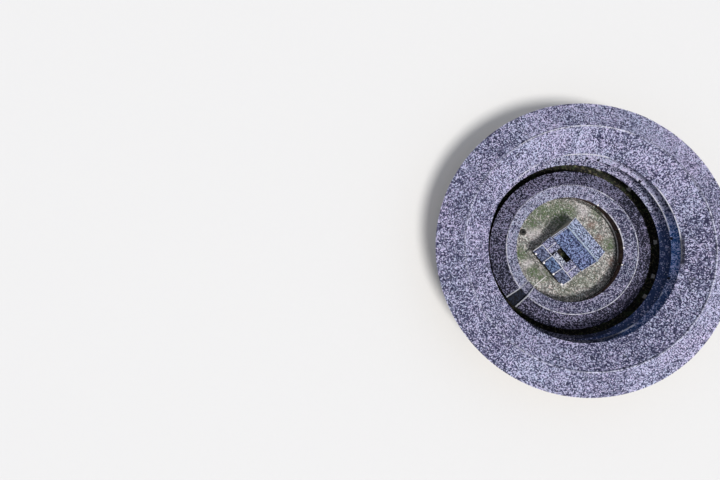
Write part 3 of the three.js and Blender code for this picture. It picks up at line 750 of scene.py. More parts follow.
def stained_material(name, base, stain, scale=1.0, amount=0.5, runs=0.3, depth=0.01, roughness=0.85):
    made, place = new_material(name, roughness)
    result = stains({"Place": place, "Base": rgba(base), "Stain": rgba(stain), "Scale": scale,
                     "Amount": amount, "Runs": runs})
    return finished(made, result["Color"], result["Height"], depth)


def lime_material(roof, name, amount, scale=1.2, colour=None):
    return stained_material(name, colour or roof.lime_colour, roof.lime_stain_colour, scale, amount,
                            runs=0.0, depth=real(0.02))


def timber_round(name, timber, board, upright=True, wear=None, wood=None):
    """Boards round the ring: upright ones are counted by angle, level ones by height"""
    made, place = new_material(name, 0.75)
    found = ring_place({"Place": place})
    around = found["Angle"] * COURT_EAVE[0]
    across, along = (around, found["Height"]) if upright else (found["Height"], around)
    result = old_boards({
        "Across": across / board, "Along": along, "Wood": rgba(wood or timber.wood_colour),
        "Worn": rgba(timber.worn_colour), "Wear": timber.wear if wear is None else wear})
    return finished(made, result["Color"], result["Height"], real(0.01))


def stained_stone(name, wall, roof, cell=real(0.5), pale=1.0):
    """Rough stone with a tone of its own for every block and moss in the damp places"""
    made, place = new_material(name, 0.9)
    one_block = cell_tones(voronoi(place, 1 / cell))[0]
    spots = cloudy(place, 9.0, 5.0, 0.7)
    colour = toned(shaded(wall.stone_colour, pale), ramp(one_block, 0.8, 0.6))
    colour = mixed(ramp(spots, 3.0, -1.3) * 0.5, colour, rgba(wall.plaster_stain_colour))
    damp = ramp(cloudy(place, 1.1, 5.0, 0.65), 5.0, -2.7)
    colour = mixed(damp * 0.5, colour, rgba(roof.moss_colour))
    return finished(made, colour, spots, real(0.03))


def rammed_earth(wall):
    """Layers of rammed earth round the house"""
    made, place = new_material("rammed earth", 0.95)
    found = ring_place({"Place": place})
    result = earth_lifts({
        "Around": found["Angle"] * WALL_FOOT[0], "Height": found["Height"], "Place": place,
        "Earth": rgba(wall.earth_colour), "Pale": rgba(wall.pale_earth_colour),
        "Damp": rgba(wall.damp_earth_colour), "Lift": wall.lift, "Form": wall.form})
    return finished(made, result["Color"], result["Height"], real(0.03))


def ridge_material(name, roof, radius, bright=(), thin=(), dark=(), least=0.0, tone=1.0):
    """Mortar and tiles of a round ridge, with a line of lime that is whole, broken or missing by arcs"""
    made, place = new_material(name, roof.tile_roughness)
    found = ring_place({"Place": place})
    angle = found["Angle"]
    line = ramp(abs(found["Radius"] - radius), -4 / roof.ridge_line, 2.6)
    broken = ramp(cloudy(place, 2.2, 4.0, 0.7), 6.0, -2.7)
    often = ramp(cloudy(place, 1.1, 3.0, 0.6), 4.0, -1.0)
    share = calc("MAXIMUM", arcs(angle, bright) * often, arcs(angle, thin) * broken)
    share = calc("MAXIMUM", share, often * least) * line
    missing = arcs(angle, dark) * line
    count = round(FULL_TURN * radius / roof.tile_spacing)
    one_tile = cell_value(calc("FLOOR", angle * (count / FULL_TURN)), 0.5, 41.0)
    weather = cloudy(place, 1.5, 5.0, 0.65)
    worn_share = ramp(weather, 1.8, linear(one_tile, 0.8, -0.95))
    colour = mixed(worn_share, shaded(roof.dark_tile_colour, tone), shaded(roof.pale_tile_colour, tone))
    colour = mixed(share * 0.75, colour, rgba(roof.lime_colour))
    colour = mixed(missing * 0.85, colour, rgba(roof.dark_tile_colour))
    return finished(made, colour, weather, real(0.03))


def inside_box(place, middle, half):
    """1 in a box of the plan and 0 outside it"""
    share = 1.0
    for part, centre, reach in zip(separated(place), middle, half):
        share = share * ramp(abs(part - centre), -20.0, 20.0 * reach)
    return share


def court_floor_material(name, court, indoors=None):
    """Cobbles with moss, pale and reddish patches, and floors painted near black as shade indoors and beyond
    the inner ring
    """
    made, place = new_material(name, 0.88)
    laid = laid_stones({
        "Place": place, "Stone": rgba(court.cobble_colour), "Joint": rgba(court.joint_colour),
        "Moss": rgba(court.moss_colour), "Scale": 1 / court.cobble, "Damp": 0.45,
        "Contrast": court.stone_contrast})
    speckle = ramp(cloudy(place, 4.5, 6.0, 0.8), 7.0, -2.9)
    colour = laid["Color"]
    for spots, patch_colour, strength in (
        (PALE_PATCHES, court.slab_colour, 0.7),
        (RED_PATCHES, court.red_colour, 0.5),
        (MOSS_PATCHES, court.moss_colour, 1.0),
    ):
        colour = mixed(patches(place, spots) * (speckle * strength), colour, rgba(patch_colour))
    found = ring_place({"Place": place})
    beyond = ramp(found["Radius"], 3.0, -3.0 * INNER_COURT_WALL)
    # Painted shade: a dark band under the inner eave, in the arcs where shade falls, and round the well
    painted_shade = ramp(abs(found["Radius"] - DRIP_SHADE_RADIUS), -4 / DRIP_SHADE_WIDTH, 3.0)
    painted_shade = painted_shade * arcs(found["Angle"], DRIP_SHADE, WIDE_SOFT)
    painted_shade = calc("MAXIMUM", painted_shade, ramp(patches(place, WELL_SHADE_PATCHES), 3.0, 0.0))
    colour = mixed(painted_shade * 0.85, colour, rgba(court.dark_floor_colour))
    # Indoors and beyond the inner ring the floor is painted near black as shade, with moss and debris on it
    if indoors:
        beyond = calc("MAXIMUM", beyond, inside_box(place, *indoors))
    debris = ramp(cloudy(place, 3.4, 6.0, 0.85), 10.0, -5.4)
    green = ramp(cloudy(place, 1.1, 5.0, 0.7), 7.0, -3.6)
    damp = mixed(green, rgba(court.dark_floor_colour), shaded(court.moss_colour, 0.6))
    damp = mixed(debris * 0.8, damp, rgba(court.debris_colour))
    return finished(made, mixed(beyond, colour, damp), laid["Height"], real(0.05))


def kerb_material(name, court, bright):
    """Kerb stones, painted dark as shade apart from some arcs where they are lit"""
    made, place = new_material(name, 0.85)
    stain = stains({"Place": place, "Base": rgba(court.kerb_colour), "Stain": rgba(court.joint_colour),
                    "Scale": 2.5, "Amount": 0.75, "Runs": 0.0})
    # Painted shade: dark except in the arcs where the kerb is lit
    dry = arcs(ring_place({"Place": place})["Angle"], bright)
    colour = mixed(dry, rgba(court.dark_floor_colour), stain["Color"])
    return finished(made, colour, stain["Height"], real(0.01))


# Shapes

def polar(angle, radius, height):
    """A point at an angle from the gate towards +X"""
    return Vector((radius * math.sin(angle), -radius * math.cos(angle), height))


def angle_of(place):
    """The angle of a point, from the gate towards +X"""
    return math.atan2(place.x, -place.y)


def photo_angle(degrees):
    """An angle from the gate, from one in degrees of the photograph"""
    return math.radians(degrees) - PHOTO_TURN


def turned(bm, verts, angle, axis="Z"):
    """Turns vertices about an axis through the origin"""
    bmesh.ops.rotate(bm, verts=verts, cent=(0, 0, 0), matrix=Matrix.Rotation(angle, 3, axis))


def moved(bm, verts, x=0.0, y=0.0, z=0.0):
    bmesh.ops.translate(bm, verts=verts, vec=(x, y, z))


def box_part(bm, low, high):
    """A box between two corners; returns its vertices"""
    low, high = Vector(low), Vector(high)
    place = Matrix.Translation((low + high) / 2) @ Matrix.Diagonal((*(high - low), 1.0))
    return bmesh.ops.create_cube(bm, size=1.0, matrix=place)["verts"]


def ring_box(bm, angle, width, inner, outer, foot, top):
    """A box that faces outwards at an angle from the gate; returns its vertices"""
    verts = box_part(bm, (-width / 2, -outer, foot), (width / 2, -inner, top))
    turned(bm, verts, angle)
    return verts


def worn(bm, verts, offset):
    """Takes the sharp edges off a part"""
    edges = {edge for vert in verts for edge in vert.link_edges}
    bmesh.ops.bevel(bm, geom=list(edges), offset=offset, offset_type="OFFSET", segments=1, profile=0.5,
                    affect="EDGES", material=-1)


def bar_between(bm, start, end, width, depth):
    """A straight bar from one point to another, with its depth hung below the line"""
    verts = box_part(bm, (-width / 2, 0, -depth), (width / 2, (end - start).length, 0))
    turn = (end - start).to_track_quat("Y", "Z").to_matrix()
    bmesh.ops.rotate(bm, verts=verts, cent=(0, 0, 0), matrix=turn)
    moved(bm, verts, *start)


def repeated(bm, count, turn=0.0, offset=(0, 0, 0)):
    """Copies everything so far, each time turned about the middle of the court or moved along a line"""
    if count > 1:
        everything = bm.verts[:] + bm.edges[:] + bm.faces[:]
        bmesh.ops.spin(bm, geom=everything, cent=(0, 0, 0), axis=(0, 0, 1), dvec=offset,
                       angle=turn * (count - 1), steps=count - 1, use_merge=False, use_duplicate=True)


def welded(bm):
    """Merges doubles, closes the open ends of a shell and turns its faces outwards"""
    bmesh.ops.remove_doubles(bm, verts=bm.verts[:], dist=WELD)
    bmesh.ops.recalc_face_normals(bm, faces=bm.faces[:])
    open_edges = [edge for edge in bm.edges if edge.is_boundary]
    if open_edges:
        bmesh.ops.holes_fill(bm, edges=open_edges, sides=0)
        bmesh.ops.recalc_face_normals(bm, faces=bm.faces[:])


def wavy(bm, amount, size):
    """Slow waves up and down over an old roof or ridge"""
    for vert in bm.verts:
        vert.co.z += amount * noise.noise(vert.co / size)


def join_into(whole, part):
    """Adds one set of shapes to another"""
    carried = bpy.data.meshes.new("part")
    part.to_mesh(carried)
    part.free()
    whole.from_mesh(carried)
    bpy.data.meshes.remove(carried)


def new_object(name, bm, material):
    """An object at the origin, with its place in its mesh"""
    mesh = bpy.data.meshes.new(name)
    bm.to_mesh(mesh)
    bm.free()
    if not mesh.polygons:
        raise RuntimeError(f"{name} has no faces")
    mesh.materials.append(material)
    made = bpy.data.objects.new(name, mesh)
    bpy.context.scene.collection.objects.link(made)
    return made


def new_piece(name, bm, material, slot, replaced=(), crease=None):
    """A finished piece that rides on the house"""
    piece = new_object(name, bm, material)
    if crease is not None:
        piece.data.shade_smooth()
        piece.data.set_sharp_from_angle(angle=math.radians(crease))
    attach(piece, "root")
    if replaced:
        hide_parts(*replaced)


def nodes_named(*starts):
    """The CAD nodes whose names start so"""
    return [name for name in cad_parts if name.startswith(starts)]


def dress(nodes, material):
    """Gives CAD nodes a material"""
    for name in nodes:
        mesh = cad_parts[name].data
        mesh.materials.clear()
        mesh.materials.append(material)


def tile_strip(bm, rows):
    """One closed column of tiles on a unit square: z is 0 on the tiles and -1 under them"""
    bmesh.ops.create_grid(bm, x_segments=TILE_FACES, y_segments=rows, size=0.5)
    under = []
    for side in (-0.5, 0.5):
        rim = [edge for edge in bm.edges if all(abs(vert.co.y - side) < WELD for vert in edge.verts)]
        grown = bmesh.ops.extrude_edge_only(bm, edges=rim)["geom"]
        moved(bm, [vert for vert in grown if isinstance(vert, bmesh.types.BMVert)], z=-1)
        under += [edge for edge in grown if isinstance(edge, bmesh.types.BMEdge)
                  and all(vert.co.z < -0.5 for vert in edge.verts)]
    bmesh.ops.bridge_loops(bm, edges=under)


def shape_strip(bm, foot, top, rise, sag, put):
    """Lays the unit column on a slope; put turns across, reach and height into a point"""
    for vert in bm.verts:
        across, along, level = vert.co.x, vert.co.y + 0.5, vert.co.z
        reach = foot[0] + (top[0] - foot[0]) * along
        height = foot[1] + (top[1] - foot[1]) * along - sag * math.sin(math.pi * along)
        if level < -0.5:
            height -= TILE_LAYER
        else:
            from_cover = min(1.0, abs(across) * 2 / COVER_SHARE)
            height += rise * (math.sqrt(1 - from_cover ** 2) - 0.5)
        vert.co = put(across + 0.5, reach, height)


def ring_roof(name, roof, foot, top, slot, replaced, first=0.0, last=FULL_TURN, rows=3, sag=0.0, waves=0.0,
              **looks):
    """A closed ring or arc of tiles between two radii"""
    widest = max(foot[0], top[0])
    count_radius = (foot[0] + top[0]) / 2 if last - first >= FULL_TURN else widest
    columns = round((last - first) * count_radius / roof.tile_spacing)
    step = (last - first) / columns
    bm = bmesh.new()
    tile_strip(bm, rows)
    shape_strip(bm, foot, top, roof.tile_rise, sag,
                lambda across, reach, height: polar(first + across * step, reach, height))
    repeated(bm, columns, turn=step)
    welded(bm)
    if waves:
        wavy(bm, waves, WAVE_SIZE)
    material = ring_tiles(name.replace("_", " "), roof, foot, top, columns, first, last, **looks)
    new_piece(name, bm, material, slot, replaced, crease=50)


def straight_roof(name, roof, axis, start, end, foot, top, slot, replaced, rows=3, sag=0.0, **looks):
    """A closed slope of tiles between a start and an end on its ridge's axis: 0 along x, 1 along y"""
    count = round((end - start) / roof.tile_spacing)
    pitch = (end - start) / count

    def put(across, reach, height):
        place = [reach, reach, height]
        place[axis] = start + across * pitch
        return Vector(place)

    bm = bmesh.new()
    tile_strip(bm, rows)
    shape_strip(bm, foot, top, roof.tile_rise, sag, put)
    offset = [0, 0, 0]
    offset[axis] = pitch
    repeated(bm, count, offset=offset)
    welded(bm)
    material = straight_tiles(name.replace("_", " "), roof, axis, start, pitch, foot, top, **looks)
    new_piece(name, bm, material, slot, replaced, crease=50)


def ring_band(name, profile, material, slot, replaced=(), first=0.0, last=FULL_TURN, steps=240, wander=0.0):
    """A closed profile of radii and heights, swept round or through an arc"""
    bm = bmesh.new()
    verts = [bm.verts.new(polar(first, radius, height)) for radius, height in profile]
    edges = [bm.edges.new(pair) for pair in zip(verts, verts[1:] + verts[:1])]
    whole = last - first >= FULL_TURN
    bmesh.ops.spin(bm, geom=verts + edges, cent=(0, 0, 0), axis=(0, 0, 1), dvec=(0, 0, 0),
                   angle=last - first, steps=steps, use_merge=whole, use_duplicate=False)
    welded(bm)
    if wander:
        wavy(bm, wander, WANDER_SIZE)
    new_piece(name, bm, material, slot, replaced, crease=40)


def band_profile(inner, outer, foot, top):
    return [(inner, foot), (outer, foot), (outer, top), (inner, top)]


def ridge_profile(ridge, cap):
    """A rounded cap of mortar that sits astride a ridge"""
    radius, height = ridge
    half, rise, outer_fall, inner_fall = cap
    profile = [(radius - half, height - half * inner_fall), (radius + half, height - half * outer_fall)]
    steps = 6
    for i in range(1, steps):
        angle = math.pi * i / steps
        profile.append((radius + half * math.cos(angle), height + rise * math.sin(angle)))
    return profile


# Settings that a user may change

def length_setting(name, description, default, **limits):
    return FloatProperty(name=name, description=description, default=default, unit="LENGTH", **limits)


def share_setting(name, description, default, highest=1.0):
    return FloatProperty(name=name, description=description, default=default, min=0, max=highest)


def strength_setting(name, description, default):
    return FloatProperty(name=name, description=description, default=default, min=0)


def angle_setting(name, description, degrees):
    return FloatProperty(name=name, description=description, default=math.radians(degrees), subtype="ANGLE")


def colour_setting(name, description, default):
    return FloatVectorProperty(name=name, description=description, default=default, size=3, min=0, max=1,
                               subtype="COLOR")


class RoofSettings(bpy.types.PropertyGroup):
    tile_spacing: length_setting("Tile spacing", "Distance between two tile columns", real(0.25), min=0.02)
    tile_rise: length_setting("Tile rise", "Height of a cover tile above the pan tile", real(0.09), min=0.0)
    course: length_setting("Course", "Visible length of one tile", real(0.2), min=0.02)
    sag: length_setting("Sag", "How far the middle of a slope hangs below a straight line", real(0.08))
    unevenness: length_setting("Unevenness", "Height of the slow waves over the old roofs", real(0.07))
    rafter_width: length_setting("Rafter width", "Width of a rafter", real(0.1))
    ridge_line: length_setting("Ridge line", "Width of the lime along the middle of a ridge", real(0.12))
    tile_colour: colour_setting("Tile", "Colour of most tiles", (0.178, 0.181, 0.285))
    pale_tile_colour: colour_setting("Pale tile", "Colour of the palest tiles", (0.57, 0.575, 0.74))
    dark_tile_colour: colour_setting("Dark tile", "Colour of soot, dirt and joints", (0.022, 0.023, 0.058))
    moss_colour: colour_setting("Moss", "Colour of moss and lichen", (0.16, 0.17, 0.15))
    lime_colour: colour_setting("Lime", "Colour of clean lime on ridges and verges", (0.62, 0.62, 0.68))
    fresh_lime_colour: colour_setting("Fresh lime", "Colour of lime ends along the eaves", (0.95, 0.9, 0.87))
    lime_stain_colour: colour_setting("Lime stain", "Colour of stained lime mortar", (0.17, 0.17, 0.2))
    tile_roughness: share_setting("Roughness", "Roughness of the tiles", 0.82)
    patchiness: share_setting("Patchiness", "Difference of tone between sections", 0.16)
    streaks: share_setting("Streaks", "Strength of the runs down a slope", 0.25, 2.0)
    grain: share_setting("Grain", "Difference of tone between neighbouring tiles", 1.5, 2.0)
    moss_share: share_setting("Moss share", "How much of the moss shows", 0.3)


class WallSettings(bpy.types.PropertyGroup):
    lift: length_setting("Lift", "Height of one rammed layer", real(0.4))
    form: length_setting("Form", "Length of the box that the earth is rammed in", real(1.8))
    earth_colour: colour_setting("Earth", "Colour of the earth wall", (0.40, 0.29, 0.17))
    pale_earth_colour: colour_setting("Pale earth", "Colour of dry, worn earth", (0.58, 0.47, 0.32))
    damp_earth_colour: colour_setting("Damp earth", "Colour of runs and joints", (0.22, 0.16, 0.10))
    stone_colour: colour_setting("Stone", "Colour of the plinth and the gate frame", (0.33, 0.32, 0.29))
    stone_width: length_setting("Stone width", "Mean width of a stone in the plinth", real(0.43), min=0.05)
    bar_width: length_setting("Bar width", "Width of a bar in a window", real(0.035))
    plaster_colour: colour_setting("Plaster", "Colour of lime plaster", (0.60, 0.57, 0.50))
    plaster_stain_colour: colour_setting("Plaster stain", "Colour of stained plaster", (0.22, 0.20, 0.17))


class TimberSettings(bpy.types.PropertyGroup):
    board: length_setting("Board", "Width of one board", real(0.2))
    wood_colour: colour_setting("Wood", "Colour of sheltered wood", (0.07, 0.042, 0.026))
    worn_colour: colour_setting("Worn wood", "Colour of wood in sun and rain", (0.22, 0.16, 0.11))
    red_wood_colour: colour_setting("Red wood", "Colour of the inner court's fronts", (0.036, 0.016, 0.019))
    wear: share_setting("Wear", "Share of worn wood", 0.8, 2.0)
    iron_colour: colour_setting("Iron", "Colour of rusty iron on the gate", (0.045, 0.032, 0.028))


class CourtSettings(bpy.types.PropertyGroup):
    cobble: length_setting("Cobble", "Size of one cobble", real(0.28))
    cobble_colour: colour_setting("Cobbles", "Colour of the cobbles", (0.3, 0.296, 0.295))
    joint_colour: colour_setting("Joints", "Colour of the joints between stones", (0.10, 0.10, 0.09))
    moss_colour: colour_setting("Moss", "Colour of moss in the court", (0.075, 0.115, 0.05))
    slab_colour: colour_setting("Slabs", "Colour of paths and pale cobbles", (0.66, 0.61, 0.64))
    kerb_colour: colour_setting("Kerbs", "Colour of kerbs and steps", (0.66, 0.64, 0.65))
    stone_contrast: share_setting("Stone contrast", "Difference of tone between cobbles", 2.0, 4.0)
    debris_colour: colour_setting("Debris", "Colour of leaves and gravel under the roofs", (0.3, 0.27, 0.17))
    red_colour: colour_setting("Reddish stones", "Colour of the reddish patches", (0.3, 0.16, 0.12))
    # Near black: painted shade in the ring court, indoors, under the inner eave and at the well
    dark_floor_colour: colour_setting("Shade floor", "Colour of the sheltered floors", (0.012, 0.012, 0.012))


class StageSettings(bpy.types.PropertyGroup):
    floor_colour: colour_setting("Floor", "Colour of the stage floor", (0.62, 0.62, 0.62))
    sun_strength: strength_setting("Sun", "Strength of the sun lamp", 3.4)
    sun_angle: angle_setting("Sun angle", "Width of the sun, which softens its shadows", 16)
    sun_bearing: angle_setting("Sun bearing", "Bearing of the sun, from +X towards +Y", 344)
    sun_height: angle_setting("Sun height", "Height of the sun above the horizon", 64)
    sky_strength: strength_setting("Sky", "Strength of the light all round", 0.6)


# Outer ring

class ROUNDHOUSE_OT_main_roof(bpy.types.Operator):
    """Tiles both slopes of the outer ring's roof"""
    bl_idname = "roundhouse.main_roof"
    bl_label = "Main roof"

    def execute(self, context):
        roof = context.scene.roundhouse_roof
        # Arcs of painted light and shade on both slopes
        outer_marks = ring_marks(tones=OUTER_LIGHT_AND_SHADE)
        court_marks = ring_marks(COURT_EAVE_LIME, COURT_EAVE_SHADOW, tones=COURT_LIGHT_AND_SHADE)
        for side, foot, section, marks in (("outer", EAVE, 29.0, outer_marks),
                                           ("court", COURT_EAVE, 21.0, court_marks)):
            ring_roof(f"main_roof_{side}_tiles", roof, foot, RIDGE, "roof_tile", [f"main_roof_{side}"],
                      rows=6, sag=roof.sag, waves=roof.unevenness, section=section, marks=marks)
        return {"FINISHED"}


class ROUNDHOUSE_OT_main_ridge(bpy.types.Operator):
    """Lays the cap on the outer ring's ridge, with lime in the stretches of the photograph"""
    bl_idname = "roundhouse.main_ridge"
    bl_label = "Main ridge"

    def execute(self, context):
        roof = context.scene.roundhouse_roof
        cap = ridge_material("main ridge", roof, RIDGE[0], RIDGE_BRIGHT, RIDGE_THIN, RIDGE_DARK)
        ring_band("main_ridge_cap", ridge_profile(RIDGE, MAIN_CAP), cap, "lime", ["main_ridge"], steps=360,
                  wander=real(0.03))
        return {"FINISHED"}


def rafters(bm, foot, top, count, width, depth):
    """Rafters under a ring slope, each square to the ring"""
    pitch = math.atan2(top[1] - foot[1], abs(top[0] - foot[0]))
    box_part(bm, (-width / 2, 0, -depth), (width / 2, math.dist(foot, top), 0))
    turned(bm, bm.verts[:], pitch, "X")
    if top[0] > foot[0]:
        turned(bm, bm.verts[:], math.pi)
    moved(bm, bm.verts[:], 0, -foot[0], foot[1])
    repeated(bm, count, turn=FULL_TURN / count)


class ROUNDHOUSE_OT_rafters(bpy.types.Operator):
    """Adds rafters under both slopes of the main roof"""
    bl_idname = "roundhouse.rafters"
    bl_label = "Rafters"

    def execute(self, context):
        roof = context.scene.roundhouse_roof
        timber = context.scene.roundhouse_timber
        wood = timber_round("rafter wood", timber, timber.board)
        set_back = real(0.12)
        rafters_per_bay = 4
        under = TILE_LAYER + roof.sag + real(0.02)
        for side, eave, inset in (("outer", EAVE, -set_back), ("court", COURT_EAVE, set_back)):
            share = abs(inset / (RIDGE[0] - eave[0]))
            foot = (eave[0] + inset, eave[1] + share * (RIDGE[1] - eave[1]) - under)
            top = (RIDGE[0], RIDGE[1] - under)
            bm = bmesh.new()
            rafters(bm, foot, top, BAYS * rafters_per_bay, roof.rafter_width, ROOF_DEPTH - TILE_LAYER)
            new_piece(f"{side}_rafters", bm, wood, "dark_timber")
        return {"FINISHED"}


class ROUNDHOUSE_OT_pent_roofs(bpy.types.Operator):
    """Tiles the two pent roofs of the galleries, with a line of lime along their tops"""
    bl_idname = "roundhouse.pent_roofs"
    bl_label = "Pent roofs"

    def execute(self, context):
        roof = context.scene.roundhouse_roof
        lime = lime_material(roof, "pent lime", amount=0.85)
        # Painted shadow, painted blue shade, painted light and shade, and painted dark gaps on the pents
        upper_marks = ring_marks(PENT_LIME, PENT_SHADOW, PENT_GAPS, PENT_SHADE, PENT_LIGHT_AND_SHADE)
        lower_marks = ring_marks(dark=PENT_SHADOW, shade=LOWER_PENT_SHADE, tones=LOWER_PENT_LIGHT_AND_SHADE)
        half = real(0.09)
        for name, (foot, top), marks in (("upper", PENT_UPPER, upper_marks),
                                         ("lower", PENT_LOWER, lower_marks)):
            ring_roof(f"pent_roof_{name}_tiles", roof, foot, top, "roof_tile", [f"pent_roof_{name}"],
                      waves=roof.unevenness / 2, section=17.0, grain=1.3, marks=marks)
            radius, height = top
            profile = [(radius - 2 * half, height - half), (radius, height - half),
                       (radius, height + half), (radius - half, height + half)]
            ring_band(f"pent_lime_{name}", profile, lime, "lime", wander=real(0.02))
        return {"FINISHED"}


def inside_window(angle, height):
    """Whether a place on the wall lies in a window: one in each bay above, in every second bay below"""
    from_bay = abs((angle + BAY / 2) % BAY - BAY / 2)
    from_pair = abs((angle + BAY) % (2 * BAY) - BAY)
    for (half, sill, tall), away in ((WINDOW_UPPER, from_bay), (WINDOW_LOWER, from_pair)):
        if away * WALL_FOOT[0] < half and sill < height < sill + tall:
            return True
    return False


def wall_sheet(bm):
    """The outer face of the earth wall with its windows left out, and with lines at their edges"""
    upper, lower = WINDOW_UPPER[0] / WALL_FOOT[0], WINDOW_LOWER[0] / WALL_FOOT[0]
    half_way = BAY / 4
    first_bay = [-BAY / 2, -half_way, -upper, -lower, lower, upper, half_way]
    second_bay = [BAY / 2, BAY - half_way, BAY - upper, BAY + upper, BAY + half_way, BAY * 3 / 2]
    angles = first_bay + second_bay
    heights = [WALL_FOOT[1], GATE_TOP]
    for window in (WINDOW_LOWER, WINDOW_UPPER):
        heights += [window[1], window[1] + window[2]]
    heights.append(WALL_TOP[1])
    columns, rows = len(angles) - 1, len(heights) - 1
    bmesh.ops.create_grid(bm, x_segments=columns, y_segments=rows, size=0.5)
    for vert in bm.verts:
        angle = angles[round((vert.co.x + 0.5) * columns)]
        height = heights[round((vert.co.y + 0.5) * rows)]
        share = (height - WALL_FOOT[1]) / (WALL_TOP[1] - WALL_FOOT[1])
        vert.co = polar(angle, WALL_FOOT[0] + (WALL_TOP[0] - WALL_FOOT[0]) * share, height)
    repeated(bm, BAYS // 2, turn=2 * BAY)
    bmesh.ops.remove_doubles(bm, verts=bm.verts[:], dist=WELD)
    holes = []
    for face in bm.faces:
        middle = face.calc_center_median()
        over_gate = abs(angle_of(middle)) < BAY / 2 and middle.z < GATE_TOP
        if over_gate or inside_window(angle_of(middle), middle.z):
            holes.append(face)
    bmesh.ops.delete(bm, geom=holes, context="FACES")


def thickened_wall(bm):
    """Gives the sheet its thickness: the inner face stands upright and reaches up under the roof"""
    grown = bmesh.ops.extrude_face_region(bm, geom=bm.faces[:], use_keep_orig=True)["geom"]
    for vert in grown:
        if isinstance(vert, bmesh.types.BMVert):
            height = WALL_INSIDE[1] if vert.co.z > WALL_TOP[1] - WELD else vert.co.z
            vert.co = polar(angle_of(vert.co), WALL_INSIDE[0], height)
    bmesh.ops.recalc_face_normals(bm, faces=bm.faces[:])


class ROUNDHOUSE_OT_earth_wall(bpy.types.Operator):
    """Builds the round rammed earth wall with its windows"""
    bl_idname = "roundhouse.earth_wall"
    bl_label = "Earth wall"

    def execute(self, context):
        bm = bmesh.new()
        wall_sheet(bm)
        thickened_wall(bm)
        earth = rammed_earth(context.scene.roundhouse_wall)
        new_piece("earth_wall", bm, earth, "rammed_earth", nodes_named("earth_wall"), crease=40)
        return {"FINISHED"}


def window_parts(bm, window, bars, bar_width):
    """A wooden frame and its bars, a little inside the outer face of the wall, at the gate's bay"""
    half, sill, tall = window
    board = real(0.07)
    for foot in (sill, sill + tall - board):
        ring_box(bm, 0, 2 * half, WINDOW_BACK, WINDOW_FACE, foot, foot + board)
    for side in (-1, 1):
        ring_box(bm, side * (half - board / 2) / WALL_FOOT[0], board, WINDOW_BACK, WINDOW_FACE, sill,
                 sill + tall)
    clear = 2 * (half - board)
    for i in range(bars):
        offset = -clear / 2 + clear * (i + 0.5) / bars
        ring_box(bm, offset / WALL_FOOT[0], bar_width, WINDOW_BACK + board / 2, WINDOW_FACE - board / 2, sill,
                 sill + tall)


class ROUNDHOUSE_OT_windows(bpy.types.Operator):
    """Sets a barred wooden frame in every window of the earth wall"""
    bl_idname = "roundhouse.windows"
    bl_label = "Windows"

    def execute(self, context):
        timber = context.scene.roundhouse_timber
        wood = timber_round("window wood", timber, timber.board / 2, wear=1.2)
        for name, window, bars, every in (("upper", WINDOW_UPPER, 5, 1), ("lower", WINDOW_LOWER, 4, 2)):
            bm = bmesh.new()
            window_parts(bm, window, bars, context.scene.roundhouse_wall.bar_width)
            repeated(bm, BAYS // every, turn=every * BAY)
            new_piece(f"window_frames_{name}", bm, wood, "dark_timber")
        return {"FINISHED"}


def plinth_stones(bm, chance, width):
    """Field stones in three courses over two bays, each bay closed by a joint"""
    courses = 3
    course_height = WALL_FOOT[1] / courses
    joint = real(0.02)
    depth = real(0.25)
    wear = real(0.05)
    for bay in (1, 2):
        for course in range(courses):
            widths = [chance.uniform(0.65, 1.35) for _ in range(round(BAY * PLINTH_RADIUS / width))]
            start = (bay - 0.5) * BAY
            for share in widths:
                span = BAY * share / sum(widths)
                face = PLINTH_RADIUS - chance.uniform(0, real(0.05))
                foot = course * course_height + joint / 2 + chance.uniform(0, joint)
                top = (course + 1) * course_height - chance.uniform(0, joint)
                verts = ring_box(bm, start + span / 2, span * PLINTH_RADIUS - joint, face - depth, face, foot,
                                 top)
                worn(bm, verts, wear)
                start += span


def bulging(bm, amount, size):
    """Makes the faces of stones bulge in and out, but not past the plinth's radius"""
    for vert in bm.verts:
        bulge = amount * noise.noise(vert.co / size)
        radius = min(math.hypot(vert.co.x, vert.co.y) + bulge, PLINTH_RADIUS)
        vert.co = polar(angle_of(vert.co), radius, vert.co.z)


class ROUNDHOUSE_OT_plinth(bpy.types.Operator):
    """Lays the field stones of the plinth in mortar"""
    bl_idname = "roundhouse.plinth"
    bl_label = "Plinth"

    def execute(self, context):
        wall = context.scene.roundhouse_wall
        joints = context.scene.roundhouse_court.joint_colour
        mortar = stained_material("plinth mortar", shaded(wall.stone_colour, 0.6), joints, scale=1.5,
                                  amount=0.7)
        profile = band_profile(WALL_INSIDE[0], PLINTH_RADIUS - real(0.1), 0, WALL_FOOT[1])
        ring_band("plinth_mortar", profile, mortar, "field_stone", ["stone_plinth"], BAY / 2,
                  FULL_TURN - BAY / 2, steps=236)
        bm = bmesh.new()
        plinth_stones(bm, random.Random(11), wall.stone_width)
        repeated(bm, BAYS // 2, turn=2 * BAY)
        in_gate = [vert for vert in bm.verts if abs(angle_of(vert.co)) < BAY / 2]
        bmesh.ops.delete(bm, geom=in_gate, context="VERTS")
        bulging(bm, real(0.03), real(0.35))
        stones = stained_stone("plinth stones", wall, context.scene.roundhouse_roof)
        new_piece("plinth_stones", bm, stones, "field_stone", crease=60)
        return {"FINISHED"}


